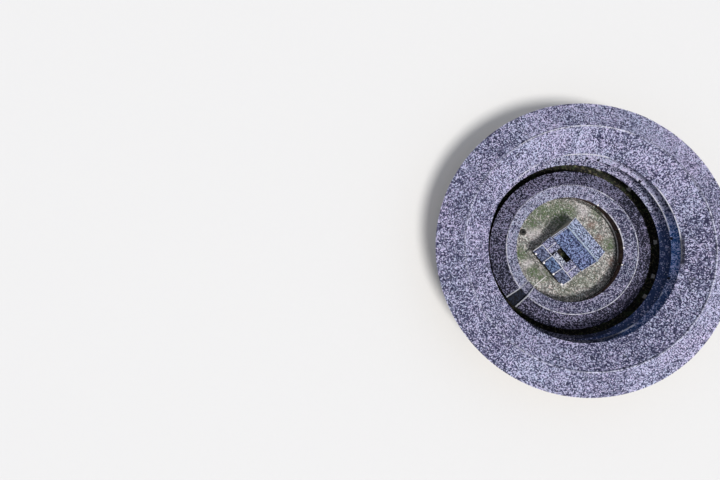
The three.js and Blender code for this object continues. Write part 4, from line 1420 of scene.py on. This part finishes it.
def gate_stones(bm):
    """Dressed blocks round the gate: jambs on both sides, then the arch"""
    face = PLINTH_RADIUS * math.cos(BAY / 2) + real(0.04)
    back = face - real(0.09)
    depth = real(0.34)
    bond = real(0.1)
    joint = real(0.012)
    wear = real(0.015)
    blocks = 4
    height = (GATE_SPRING - FLOOR_TOP) / blocks
    for side in (-1, 1):
        for i in range(blocks):
            left, right = sorted((side * (GATE_HALF + joint), side * (GATE_HALF + depth + bond * (i % 2))))
            foot = FLOOR_TOP + i * height
            verts = box_part(bm, (left, -face, foot + joint), (right, -back, foot + height))
            worn(bm, verts, wear)
    voussoirs = 11
    width = math.pi * (GATE_HALF + depth / 2) / voussoirs
    for i in range(voussoirs):
        verts = box_part(bm, (joint - width / 2, -face, GATE_HALF + joint),
                         (width / 2 - joint, -back, GATE_HALF + depth))
        turned(bm, verts, math.pi * ((i + 0.5) / voussoirs - 0.5), "Y")
        moved(bm, verts, z=GATE_SPRING)
        worn(bm, verts, wear)


def iron_bands(bm, low, high):
    """Three iron bands round a gate leaf, from the leaf's corners"""
    thick = real(0.006)
    inset = real(0.02)
    height = real(0.07)
    bands = 3
    for i in range(bands):
        foot = low[2] + (high[2] - low[2]) * (i + 0.5) / bands
        box_part(bm, (low[0] - thick, low[1] + inset, foot),
                 (high[0] + thick, high[1] - inset, foot + height))


class ROUNDHOUSE_OT_gate(bpy.types.Operator):
    """Sets dressed stone round the gate and iron on its leaves"""
    bl_idname = "roundhouse.gate"
    bl_label = "Gate"

    def execute(self, context):
        wall = context.scene.roundhouse_wall
        roof = context.scene.roundhouse_roof
        timber = context.scene.roundhouse_timber
        leaves = ["gate_leaf_left", "gate_leaf_right"]
        dress(["gate_frame"], stained_stone("gate stone", wall, roof, cell=real(0.7), pale=1.05))
        dress(leaves, timber_round("gate wood", timber, timber.board, wear=0.9))
        bm = bmesh.new()
        gate_stones(bm)
        stone = stained_stone("dressed stone", wall, roof, cell=real(0.4), pale=1.25)
        new_piece("gate_stones", bm, stone, "field_stone", crease=40)
        bm = bmesh.new()
        for leaf in leaves:
            iron_bands(bm, *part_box(leaf))
        iron = stained_material("rusty iron", timber.iron_colour, timber.red_wood_colour, scale=6.0,
                                amount=0.6)
        new_piece("gate_iron", bm, iron, "dark_timber")
        return {"FINISHED"}


# Galleries

def parapet_bay(bm, foot):
    """Upright boards between two rails, one bay wide, at the gate's bay"""
    boards = 12
    rail = real(0.1)
    low_rail = real(0.06)
    gap = real(0.015)
    width = 2 * GALLERY_EDGE * math.tan(BAY / 2)
    for low in (foot + low_rail, foot + PARAPET_HEIGHT - rail):
        ring_box(bm, 0, width, GALLERY_EDGE, GALLERY_EDGE + PARAPET_DEPTH, low, low + rail)
    spacing = BAY / boards
    inner, outer = GALLERY_EDGE + real(0.02), GALLERY_EDGE + real(0.05)
    low, high = foot + real(0.01), foot + PARAPET_HEIGHT - rail / 2
    for i in range(boards):
        ring_box(bm, (i + 0.5) * spacing - BAY / 2, spacing * GALLERY_EDGE - gap, inner, outer, low, high)


def joist_bay(bm, top):
    """Ends of three joists that stick out under a gallery's floor"""
    joists = 3
    size = real(0.13)
    inner, outer = GALLERY_EDGE - real(0.2), GALLERY_EDGE + real(0.3)
    under = top - FLOOR_DEPTH
    for i in range(joists):
        ring_box(bm, ((i + 0.5) / joists - 0.5) * BAY, size, inner, outer, under - size, under)


def door_frame(bm, doorway, foot, inner, outer, angle=0.0):
    """Two jambs and a lintel round a doorway"""
    half, height = doorway
    board = real(0.1)
    made = []
    for side in (-1, 1):
        offset = side * (half + board / 2)
        made += box_part(bm, (offset - board / 2, -outer, foot), (offset + board / 2, -inner, foot + height))
    top = foot + height
    made += box_part(bm, (-half - board, -outer, top), (half + board, -inner, top + board))
    turned(bm, made, angle)


def lattice(bm, window, floor, inner, outer, angle=0.0, offset=0.0):
    """A window of bars in a frame, set on a wall"""
    half, sill, height, bars = window
    foot = floor + sill
    board = real(0.07)
    bar = real(0.015)
    made = []
    for low in (foot, foot + height - board):
        made += box_part(bm, (-half, -outer, low), (half, -inner, low + board))
    for side in (-1, 1):
        middle = side * (half - board / 2)
        made += box_part(bm, (middle - board / 2, -outer, foot), (middle + board / 2, -inner, foot + height))
    for i in range(bars):
        middle = (half - board) * (2 * (i + 0.5) / bars - 1)
        made += box_part(bm, (middle - bar, bar - outer, foot), (middle + bar, bar - inner, foot + height))
    moved(bm, made, offset)
    turned(bm, made, angle)


class ROUNDHOUSE_OT_galleries(bpy.types.Operator):
    """Builds the parapets and joist ends and finishes floors, posts and room fronts in old wood"""
    bl_idname = "roundhouse.galleries"
    bl_label = "Galleries"

    def execute(self, context):
        timber = context.scene.roundhouse_timber
        upright = timber_round("upright boards", timber, timber.board)
        dress(nodes_named("room_front"), upright)
        dress(nodes_named("floor_storey", "court_posts"),
              timber_round("level boards", timber, timber.board, upright=False))
        bm = bmesh.new()
        for top in FLOORS[1:]:
            parapet_bay(bm, top + SEAT)
            joist_bay(bm, top)
        repeated(bm, BAYS, turn=BAY)
        new_piece("gallery_parapets", bm, upright, "dark_timber", nodes_named("gallery_parapet"))
        return {"FINISHED"}


class ROUNDHOUSE_OT_room_fronts(bpy.types.Operator):
    """Frames the doorways of the rooms and sets a lattice between them"""
    bl_idname = "roundhouse.room_fronts"
    bl_label = "Room fronts"

    def execute(self, context):
        timber = context.scene.roundhouse_timber
        flat = math.cos(BAY / 2)
        inner, outer = (ROOM_FRONT - FRAME_PROUD) * flat, ROOM_FRONT * flat
        bm = bmesh.new()
        for floor in FLOORS:
            first = 2 if floor == FLOORS[0] else 0
            part = bmesh.new()
            door_frame(part, DOORWAY, floor + SEAT, inner, outer, first * BAY)
            lattice(part, ROOM_LATTICE, floor, inner, outer, (first + 1) * BAY)
            repeated(part, (BAYS - first) // 2, turn=2 * BAY)
            join_into(bm, part)
        wood = timber_round("door frames", timber, timber.board / 2, wear=1.1)
        new_piece("room_fronts", bm, wood, "dark_timber")
        return {"FINISHED"}


# Inner ring

class ROUNDHOUSE_OT_inner_ring(bpy.types.Operator):
    """Tiles the inner ring's roof and the passage, and finishes the walls under them"""
    bl_idname = "roundhouse.inner_ring"
    bl_label = "Inner ring"

    def execute(self, context):
        roof = context.scene.roundhouse_roof
        wall = context.scene.roundhouse_wall
        timber = context.scene.roundhouse_timber
        arc = (INNER_FIRST, INNER_LAST)
        # The outer slope's old tiles are darker and carry painted shade
        old = {"tint": OLD_SHADED_TINT, "pale_tint": OLD_SHADED_PALE_TINT, "section": 19.0, "moss": 0.2, "grain": 1.3,
               "marks": ring_marks(tones=OLD_PAINTED_SHADE)}
        newer = {"tint": INNER_TINT, "section": 15.0, "marks": ring_marks(INNER_EAVE_LIME, tones=INNER_LIGHT_AND_SHADE)}
        for side, foot, slot, looks in (("outer", INNER_EAVE, "old_tile", old),
                                        ("court", INNER_COURT_EAVE, "roof_tile", newer)):
            ring_roof(f"inner_roof_{side}_tiles", roof, foot, INNER_RIDGE, slot, [f"inner_ring_roof_{side}"],
                      *arc, rows=4, sag=roof.sag / 2, waves=roof.unevenness, **looks)
        cap = ridge_material("inner ridge", roof, INNER_RIDGE[0], INNER_RIDGE_BRIGHT, dark=INNER_RIDGE_DARK,
                             least=0.3, tone=0.8)
        ring_band("inner_ridge_cap", ridge_profile(INNER_RIDGE, INNER_CAP), cap, "lime",
                  ["inner_ring_ridge"], *arc, wander=real(0.02))
        self.eave_ends(roof)
        clear = PASSAGE_HALF - PASSAGE_WALL
        # The passage's outer slope is tinted near black as painted shade
        for side, eave, tint, replaced in (("outer", PASSAGE_EAVE, PASSAGE_SHADE_TINT, ["passage_roof"]),
                                           ("court", PASSAGE_COURT_EAVE, PASSAGE_COURT_TINT, [])):
            ring_roof(f"passage_roof_{side}_tiles", roof, eave, PASSAGE_RIDGE, "slate_tile", replaced,
                      PASSAGE_MIDDLE - clear, PASSAGE_MIDDLE + clear, tint=tint, section=9.0)
        dress(["inner_ring_wall_outer"], stained_material(
            "old plaster", wall.plaster_colour, wall.plaster_stain_colour, scale=1.4, amount=0.6, runs=0.6))
        dress(nodes_named("passage_wall"), lime_material(
            roof, "verge lime", amount=0.8, scale=2.0, colour=VERGE_LIME))
        dress(["inner_ring_wall_court"], timber_round(
            "red fronts", timber, timber.board, wood=timber.red_wood_colour, wear=0.15))
        return {"FINISHED"}

    def eave_ends(self, roof):
        """Lumps of lime on the court eave"""
        bm = bmesh.new()
        size = real(0.36)
        radius, height = INNER_COURT_EAVE
        for degrees in INNER_EAVE_ENDS:
            verts = ring_box(bm, photo_angle(degrees), size, radius - size / 4, radius + size,
                             height - size / 2, height + size / 2)
            worn(bm, verts, size / 4)
        ends = stained_material("inner eave ends", roof.fresh_lime_colour, roof.lime_colour, scale=3.0,
                                amount=0.6)
        new_piece("inner_eave_ends", bm, ends, "lime", crease=60)


class ROUNDHOUSE_OT_inner_doors(bpy.types.Operator):
    """Frames the doorways of the inner ring and sets barred windows between them"""
    bl_idname = "roundhouse.inner_doors"
    bl_label = "Inner doors"

    def execute(self, context):
        timber = context.scene.roundhouse_timber
        flat = math.cos(INNER_STEP / 2)
        outer_face = (INNER_WALL + INNER_WALL_DEPTH) * flat
        court_face = INNER_COURT_WALL * flat
        first_door = INNER_FIRST + 1.5 * INNER_STEP
        bm = bmesh.new()
        for inner, outer in ((outer_face, outer_face + FRAME_PROUD), (court_face - FRAME_PROUD, court_face)):
            part = bmesh.new()
            door_frame(part, DOORWAY, FLOOR_TOP + SEAT, inner, outer, first_door)
            for facets in range(1, FACETS_PER_DOOR):
                lattice(part, INNER_LATTICE, FLOOR_TOP, inner, outer, first_door + facets * INNER_STEP)
            repeated(part, INNER_FACETS // FACETS_PER_DOOR, turn=FACETS_PER_DOOR * INNER_STEP)
            join_into(bm, part)
        wood = timber_round("kitchen doors", timber, timber.board / 2, wear=1.0)
        new_piece("inner_doors", bm, wood, "dark_timber")
        return {"FINISHED"}


# Court

class ROUNDHOUSE_OT_court(bpy.types.Operator):
    """Finishes the court's floor and lays the path, its kerb, the drip kerb, the steps and the well"""
    bl_idname = "roundhouse.court"
    bl_label = "Court"

    def execute(self, context):
        court = context.scene.roundhouse_court
        dress(["court_floor", "court_path"], court_floor_material("court floor", court))
        kerb = stained_material("kerb stone", court.kerb_colour, court.joint_colour, scale=2.5)
        bm = bmesh.new()
        box_part(bm, (PATH_KERB_LEFT, PATH_START, FLOOR_TOP),
                 (PATH_KERB_RIGHT, PLATFORM_FRONT, PATH_KERB_TOP))
        new_piece("path_kerb", bm, kerb, "field_stone")
        past_path = math.radians(3.2)
        profile = band_profile(DRIP_KERB_INSIDE, DRIP_KERB_OUTSIDE, FLOOR_TOP, DRIP_KERB_TOP)
        # The drip kerb is painted dark as shade except where lit
        painted_shade = kerb_material("drip kerb", court, DRIP_KERB_LIT)
        ring_band("drip_kerb", profile, painted_shade, "field_stone", first=INNER_FIRST + past_path,
                  last=INNER_LAST - past_path / 2, steps=200)
        bm = bmesh.new()
        for degrees in STEP_ANGLES:
            for width, outer, rise in STEPS:
                verts = ring_box(bm, photo_angle(degrees), width, STEP_INNER, outer, FLOOR_TOP,
                                 FLOOR_TOP + rise)
                worn(bm, verts, STEP_WEAR)
        new_piece("court_steps", bm, kerb, "field_stone")
        # The well's kerb and water are painted near black, as the shade down the well
        dress(["well_kerb"], stained_material(
            "well stone", court.dark_floor_colour, court.joint_colour, scale=3.0, amount=0.8))
        bm = bmesh.new()
        surface = Matrix.Translation((*WELL, FLOOR_TOP + real(0.03)))
        bmesh.ops.create_cone(bm, cap_ends=True, segments=24, radius1=WELL_MOUTH, radius2=WELL_MOUTH,
                              depth=real(0.02), matrix=surface)
        water = stained_material("well water", WATER_COLOUR, WATER_SCUM_COLOUR, roughness=0.1)
        new_piece("well_water", bm, water, "field_stone")
        return {"FINISHED"}


# Hall

class ROUNDHOUSE_OT_hall_roofs(bpy.types.Operator):
    """Tiles the roofs of the hall"""
    bl_idname = "roundhouse.hall_roofs"
    bl_label = "Hall roofs"

    def execute(self, context):
        roof = context.scene.roundhouse_roof
        left, right = HALL_X - HALL_ROOF_HALF, HALL_X + HALL_ROOF_HALF
        inner_left, inner_right = HALL_X - CENTRE_HALF, HALL_X + CENTRE_HALF
        rear = {"rows": 4, "slot": "roof_tile", "sag": roof.sag, "section": 13.0}
        front = {"slot": "roof_tile", "section": 7.0}
        middle = {"slot": "slate_tile"}
        for name, start, end, foot, top, replaced, tint, looks in (
            ("rear_tiles_front", left, right, REAR_FRONT, REAR_RIDGE, ["rear"], REAR_FRONT_TINT, rear),
            ("rear_tiles_back", left, right, REAR_BACK, REAR_RIDGE, [], REAR_BACK_TINT, rear),
            ("front_tiles_left", left, inner_left, FRONT_EAVE, FRONT_RIDGE, ["front_left"], FRONT_TINT,
             front),
            ("front_tiles_right", inner_right, right, FRONT_EAVE, FRONT_RIDGE, ["front_right"], RIGHT_TINT,
             front),
            ("middle_tiles_front", inner_left, inner_right, RAISED_EAVE, RAISED_RIDGE, ["front_middle"],
             MIDDLE_FRONT_TINT, middle),
            ("middle_tiles_back", inner_left, inner_right, CENTRE_BACK, RAISED_RIDGE, [], MIDDLE_BACK_TINT,
             middle),
        ):
            straight_roof(f"hall_{name}", roof, 0, start, end, foot, top,
                          replaced=[f"hall_roof_{node}" for node in replaced], tint=tint, **looks)
        for side, name in ((-1, "left"), (1, "right")):
            ridge = (HALL_X + side * WING_RIDGE_X, WING_RIDGE)
            for slope, reach, replaced in (("inner", CENTRE_HALF, [f"hall_roof_wing_{name}"]),
                                           ("outer", HALL_ROOF_HALF, [])):
                eave = (HALL_X + side * reach, WING_EAVE)
                straight_roof(f"hall_wing_tiles_{name}_{slope}", roof, 1, FRONT_RIDGE[0], WING_BACK, eave,
                              ridge, "roof_tile", replaced, rows=2, tint=WING_TINT)
        return {"FINISHED"}


def lime_line(bm, start, end, width=LINE_WIDTH):
    """A line of lime on a roof of the hall, between two points given from the hall's middle line"""
    start, end = (Vector((HALL_X + x, y, height + LINE_ABOVE)) for x, y, height in (start, end))
    bar_between(bm, start, end, width, LINE_DEPTH)


def front_lines(bm, side):
    """Ridges of the side bays and the raised ridge, and the verges of the front range"""
    for x in (-1, 1):
        lime_line(bm, (x * side, *FRONT_RIDGE), (x * CENTRE_HALF, *FRONT_RIDGE))
        lime_line(bm, (x * side, *FRONT_EAVE), (x * side, *FRONT_RIDGE))
        lime_line(bm, (x * CENTRE_HALF, *RAISED_EAVE), (x * CENTRE_HALF, *RAISED_RIDGE))
        lime_line(bm, (x * WING_RIDGE_X, FRONT_RIDGE[0] + real(0.1), WING_RIDGE),
                  (x * WING_RIDGE_X, WING_BACK, WING_RIDGE))
    lime_line(bm, (-CENTRE_HALF, *RAISED_RIDGE), (CENTRE_HALF, *RAISED_RIDGE))


def rear_lines(bm, side):
    """Verges of both slopes of the rear hall, and a second line beside the left one"""
    for x in (-1, 1):
        for eave in (REAR_FRONT, REAR_BACK):
            lime_line(bm, (x * side, *eave), (x * side, *REAR_RIDGE), REAR_LINE_WIDTH)
    beside = SECOND_LINE_IN - side
    lime_line(bm, (beside, *REAR_FRONT), (beside, *REAR_RIDGE), SECOND_LINE_WIDTH)


class ROUNDHOUSE_OT_hall_lines(bpy.types.Operator):
    """Lays the light ridges and verges of the hall and the four lime ends along its front eave"""
    bl_idname = "roundhouse.hall_lines"
    bl_label = "Hall lines"

    def execute(self, context):
        roof = context.scene.roundhouse_roof
        side = HALL_ROOF_HALF - LINE_WIDTH / 2
        bm = bmesh.new()
        front_lines(bm, side)
        rear_lines(bm, side)
        lime = lime_material(roof, "hall lines", amount=0.6, scale=2.5)
        new_piece("hall_lines", bm, lime, "lime", crease=30)
        bm = bmesh.new()
        half = Vector((EAVE_END_HALF, EAVE_END_HALF, EAVE_END_HALF))
        for x in EAVE_ENDS:
            eave = RAISED_EAVE if abs(x - HALL_X) < CENTRE_HALF else FRONT_EAVE
            middle = Vector((x, eave[0] + EAVE_END_HALF / 2, eave[1] + LINE_ABOVE))
            worn(bm, box_part(bm, middle - half, middle + half), EAVE_END_HALF / 2)
        ends = stained_material("eave ends", roof.fresh_lime_colour, roof.lime_colour, scale=3.0, amount=0.3)
        new_piece("hall_eave_ends", bm, ends, "lime", crease=60)
        dress(["hall_ridge_rear"], lime_material(
            roof, "rear ridge", amount=0.7, scale=2.0, colour=REAR_RIDGE_LIME))
        return {"FINISHED"}


class ROUNDHOUSE_OT_hall_walls(bpy.types.Operator):
    """Finishes the walls, the platform and the timber frame of the hall, with its door and windows"""
    bl_idname = "roundhouse.hall_walls"
    bl_label = "Hall walls"

    def execute(self, context):
        wall = context.scene.roundhouse_wall
        timber = context.scene.roundhouse_timber
        court = context.scene.roundhouse_court
        wood = timber_round("hall timber", timber, timber.board)
        dress(["hall_frame"], wood)
        dress(nodes_named("hall_wall"), stained_material(
            "hall plaster", wall.plaster_colour, wall.plaster_stain_colour, scale=1.1, runs=0.5))
        # Indoors the platform's floor is painted near black as shade
        dress(["hall_platform"], court_floor_material("platform stone", court, HALL_INDOORS))
        front = -HALL_WALL_FRONT
        bm = bmesh.new()
        door_frame(bm, HALL_DOORWAY, PLATFORM_TOP + SEAT, front, front + FRAME_PROUD)
        for side in (-1, 1):
            lattice(bm, HALL_LATTICE, PLATFORM_TOP, front, front + FRAME_PROUD, offset=side * HALL_LATTICE_X)
        moved(bm, bm.verts[:], HALL_X)
        new_piece("hall_joinery", bm, wood, "dark_timber")
        bm = bmesh.new()
        for side in (-1, 1):
            for y in COLUMN_ROWS:
                x = HALL_X + side * COLUMN_X
                verts = box_part(bm, (x - COLUMN_BASE_HALF, y - COLUMN_BASE_HALF, PLATFORM_TOP),
                                 (x + COLUMN_BASE_HALF, y + COLUMN_BASE_HALF, COLUMN_BASE_TOP))
                worn(bm, verts, real(0.04))
        verts = box_part(bm, (PATH_LEFT, PLATFORM_FRONT - STEP_DEPTH, STEP_FOOT),
                         (PATH_RIGHT, PLATFORM_FRONT, STEP_TOP))
        worn(bm, verts, STEP_WEAR)
        stone = stained_material("hall stone", court.cobble_colour, court.joint_colour, scale=2.0, amount=0.6)
        new_piece("hall_stones", bm, stone, "field_stone", crease=40)
        return {"FINISHED"}


# Stage

class ROUNDHOUSE_OT_stage(bpy.types.Operator):
    """Makes the pale floor, the sun, the sky light and the camera"""
    bl_idname = "roundhouse.stage"
    bl_label = "Stage"

    def execute(self, context):
        stage = context.scene.roundhouse_stage
        self.floor(stage)
        self.light(context.scene, stage)
        self.camera(context.scene)
        return {"FINISHED"}

    def floor(self, stage):
        bm = bmesh.new()
        bmesh.ops.create_grid(bm, x_segments=1, y_segments=1, size=STAGE_HALF)
        moved(bm, bm.verts[:], z=-STAGE_DROP)
        finish = stained_material("stage floor", stage.floor_colour, stage.floor_colour)
        floor = new_object("stage_floor", bm, finish)

    def light(self, scene, stage):
        lamp = bpy.data.lights.new("sun", "SUN")
        lamp.energy = stage.sun_strength
        lamp.angle = stage.sun_angle
        lamp.color = SUN_COLOUR
        sun = bpy.data.objects.new("sun", lamp)
        level = math.cos(stage.sun_height)
        towards = Vector((level * math.cos(stage.sun_bearing), level * math.sin(stage.sun_bearing),
                          math.sin(stage.sun_height)))
        sun.rotation_mode = "QUATERNION"
        sun.rotation_quaternion = towards.to_track_quat("Z", "Y")
        scene.collection.objects.link(sun)
        world = bpy.data.worlds.new("soft sky")
        world.use_nodes = True
        background = world.node_tree.nodes["Background"]
        background.inputs["Color"].default_value = SKY_COLOUR
        background.inputs["Strength"].default_value = stage.sky_strength
        scene.world = world
        scene.view_settings.view_transform = "Standard"

    def camera(self, scene):
        lens = bpy.data.cameras.new("camera")
        lens.lens = CAMERA_LENS
        lens.sensor_width = CAMERA_SENSOR
        lens.clip_end = CAMERA_REACH
        camera = bpy.data.objects.new("camera", lens)
        turn = Matrix.Rotation(CAMERA_TURN, 4, "Z")
        tilt = Matrix.Rotation(CAMERA_TILT[0], 4, "X") @ Matrix.Rotation(CAMERA_TILT[1], 4, "Y")
        place = Matrix.Translation(turn @ (CAMERA_OFFSET * SCALE))
        camera.matrix_world = place @ turn @ tilt.transposed()
        scene.collection.objects.link(camera)
        scene.camera = camera


OPERATORS = (
    ROUNDHOUSE_OT_stage,
    ROUNDHOUSE_OT_main_roof,
    ROUNDHOUSE_OT_main_ridge,
    ROUNDHOUSE_OT_rafters,
    ROUNDHOUSE_OT_pent_roofs,
    ROUNDHOUSE_OT_earth_wall,
    ROUNDHOUSE_OT_windows,
    ROUNDHOUSE_OT_plinth,
    ROUNDHOUSE_OT_gate,
    ROUNDHOUSE_OT_galleries,
    ROUNDHOUSE_OT_room_fronts,
    ROUNDHOUSE_OT_inner_ring,
    ROUNDHOUSE_OT_inner_doors,
    ROUNDHOUSE_OT_court,
    ROUNDHOUSE_OT_hall_roofs,
    ROUNDHOUSE_OT_hall_lines,
    ROUNDHOUSE_OT_hall_walls,
)
SETTINGS = {
    "roundhouse_roof": RoofSettings,
    "roundhouse_wall": WallSettings,
    "roundhouse_timber": TimberSettings,
    "roundhouse_court": CourtSettings,
    "roundhouse_stage": StageSettings,
}


class ROUNDHOUSE_PT_panel(bpy.types.Panel):
    """Lists the steps that build the house"""
    bl_label = "Roundhouse"
    bl_idname = "ROUNDHOUSE_PT_panel"
    bl_space_type = "VIEW_3D"
    bl_region_type = "UI"
    bl_category = "Roundhouse"

    def draw(self, context):
        for operator in OPERATORS:
            self.layout.operator(operator.bl_idname)
        for name, group in SETTINGS.items():
            box = self.layout.box()
            for key in group.__annotations__:
                box.prop(getattr(context.scene, name), key)


CLASSES = (*SETTINGS.values(), *OPERATORS, ROUNDHOUSE_PT_panel)


def register():
    for made in CLASSES:
        bpy.utils.register_class(made)
    for name, group in SETTINGS.items():
        setattr(bpy.types.Scene, name, PointerProperty(type=group))


def unregister():
    for name in SETTINGS:
        delattr(bpy.types.Scene, name)
    for made in reversed(CLASSES):
        bpy.utils.unregister_class(made)


def main():
    register()
    for operator in OPERATORS:
        group, step = operator.bl_idname.split(".")
        getattr(getattr(bpy.ops, group), step)()
    bpy.context.view_layer.update()


if __name__ == "__main__":
    main()
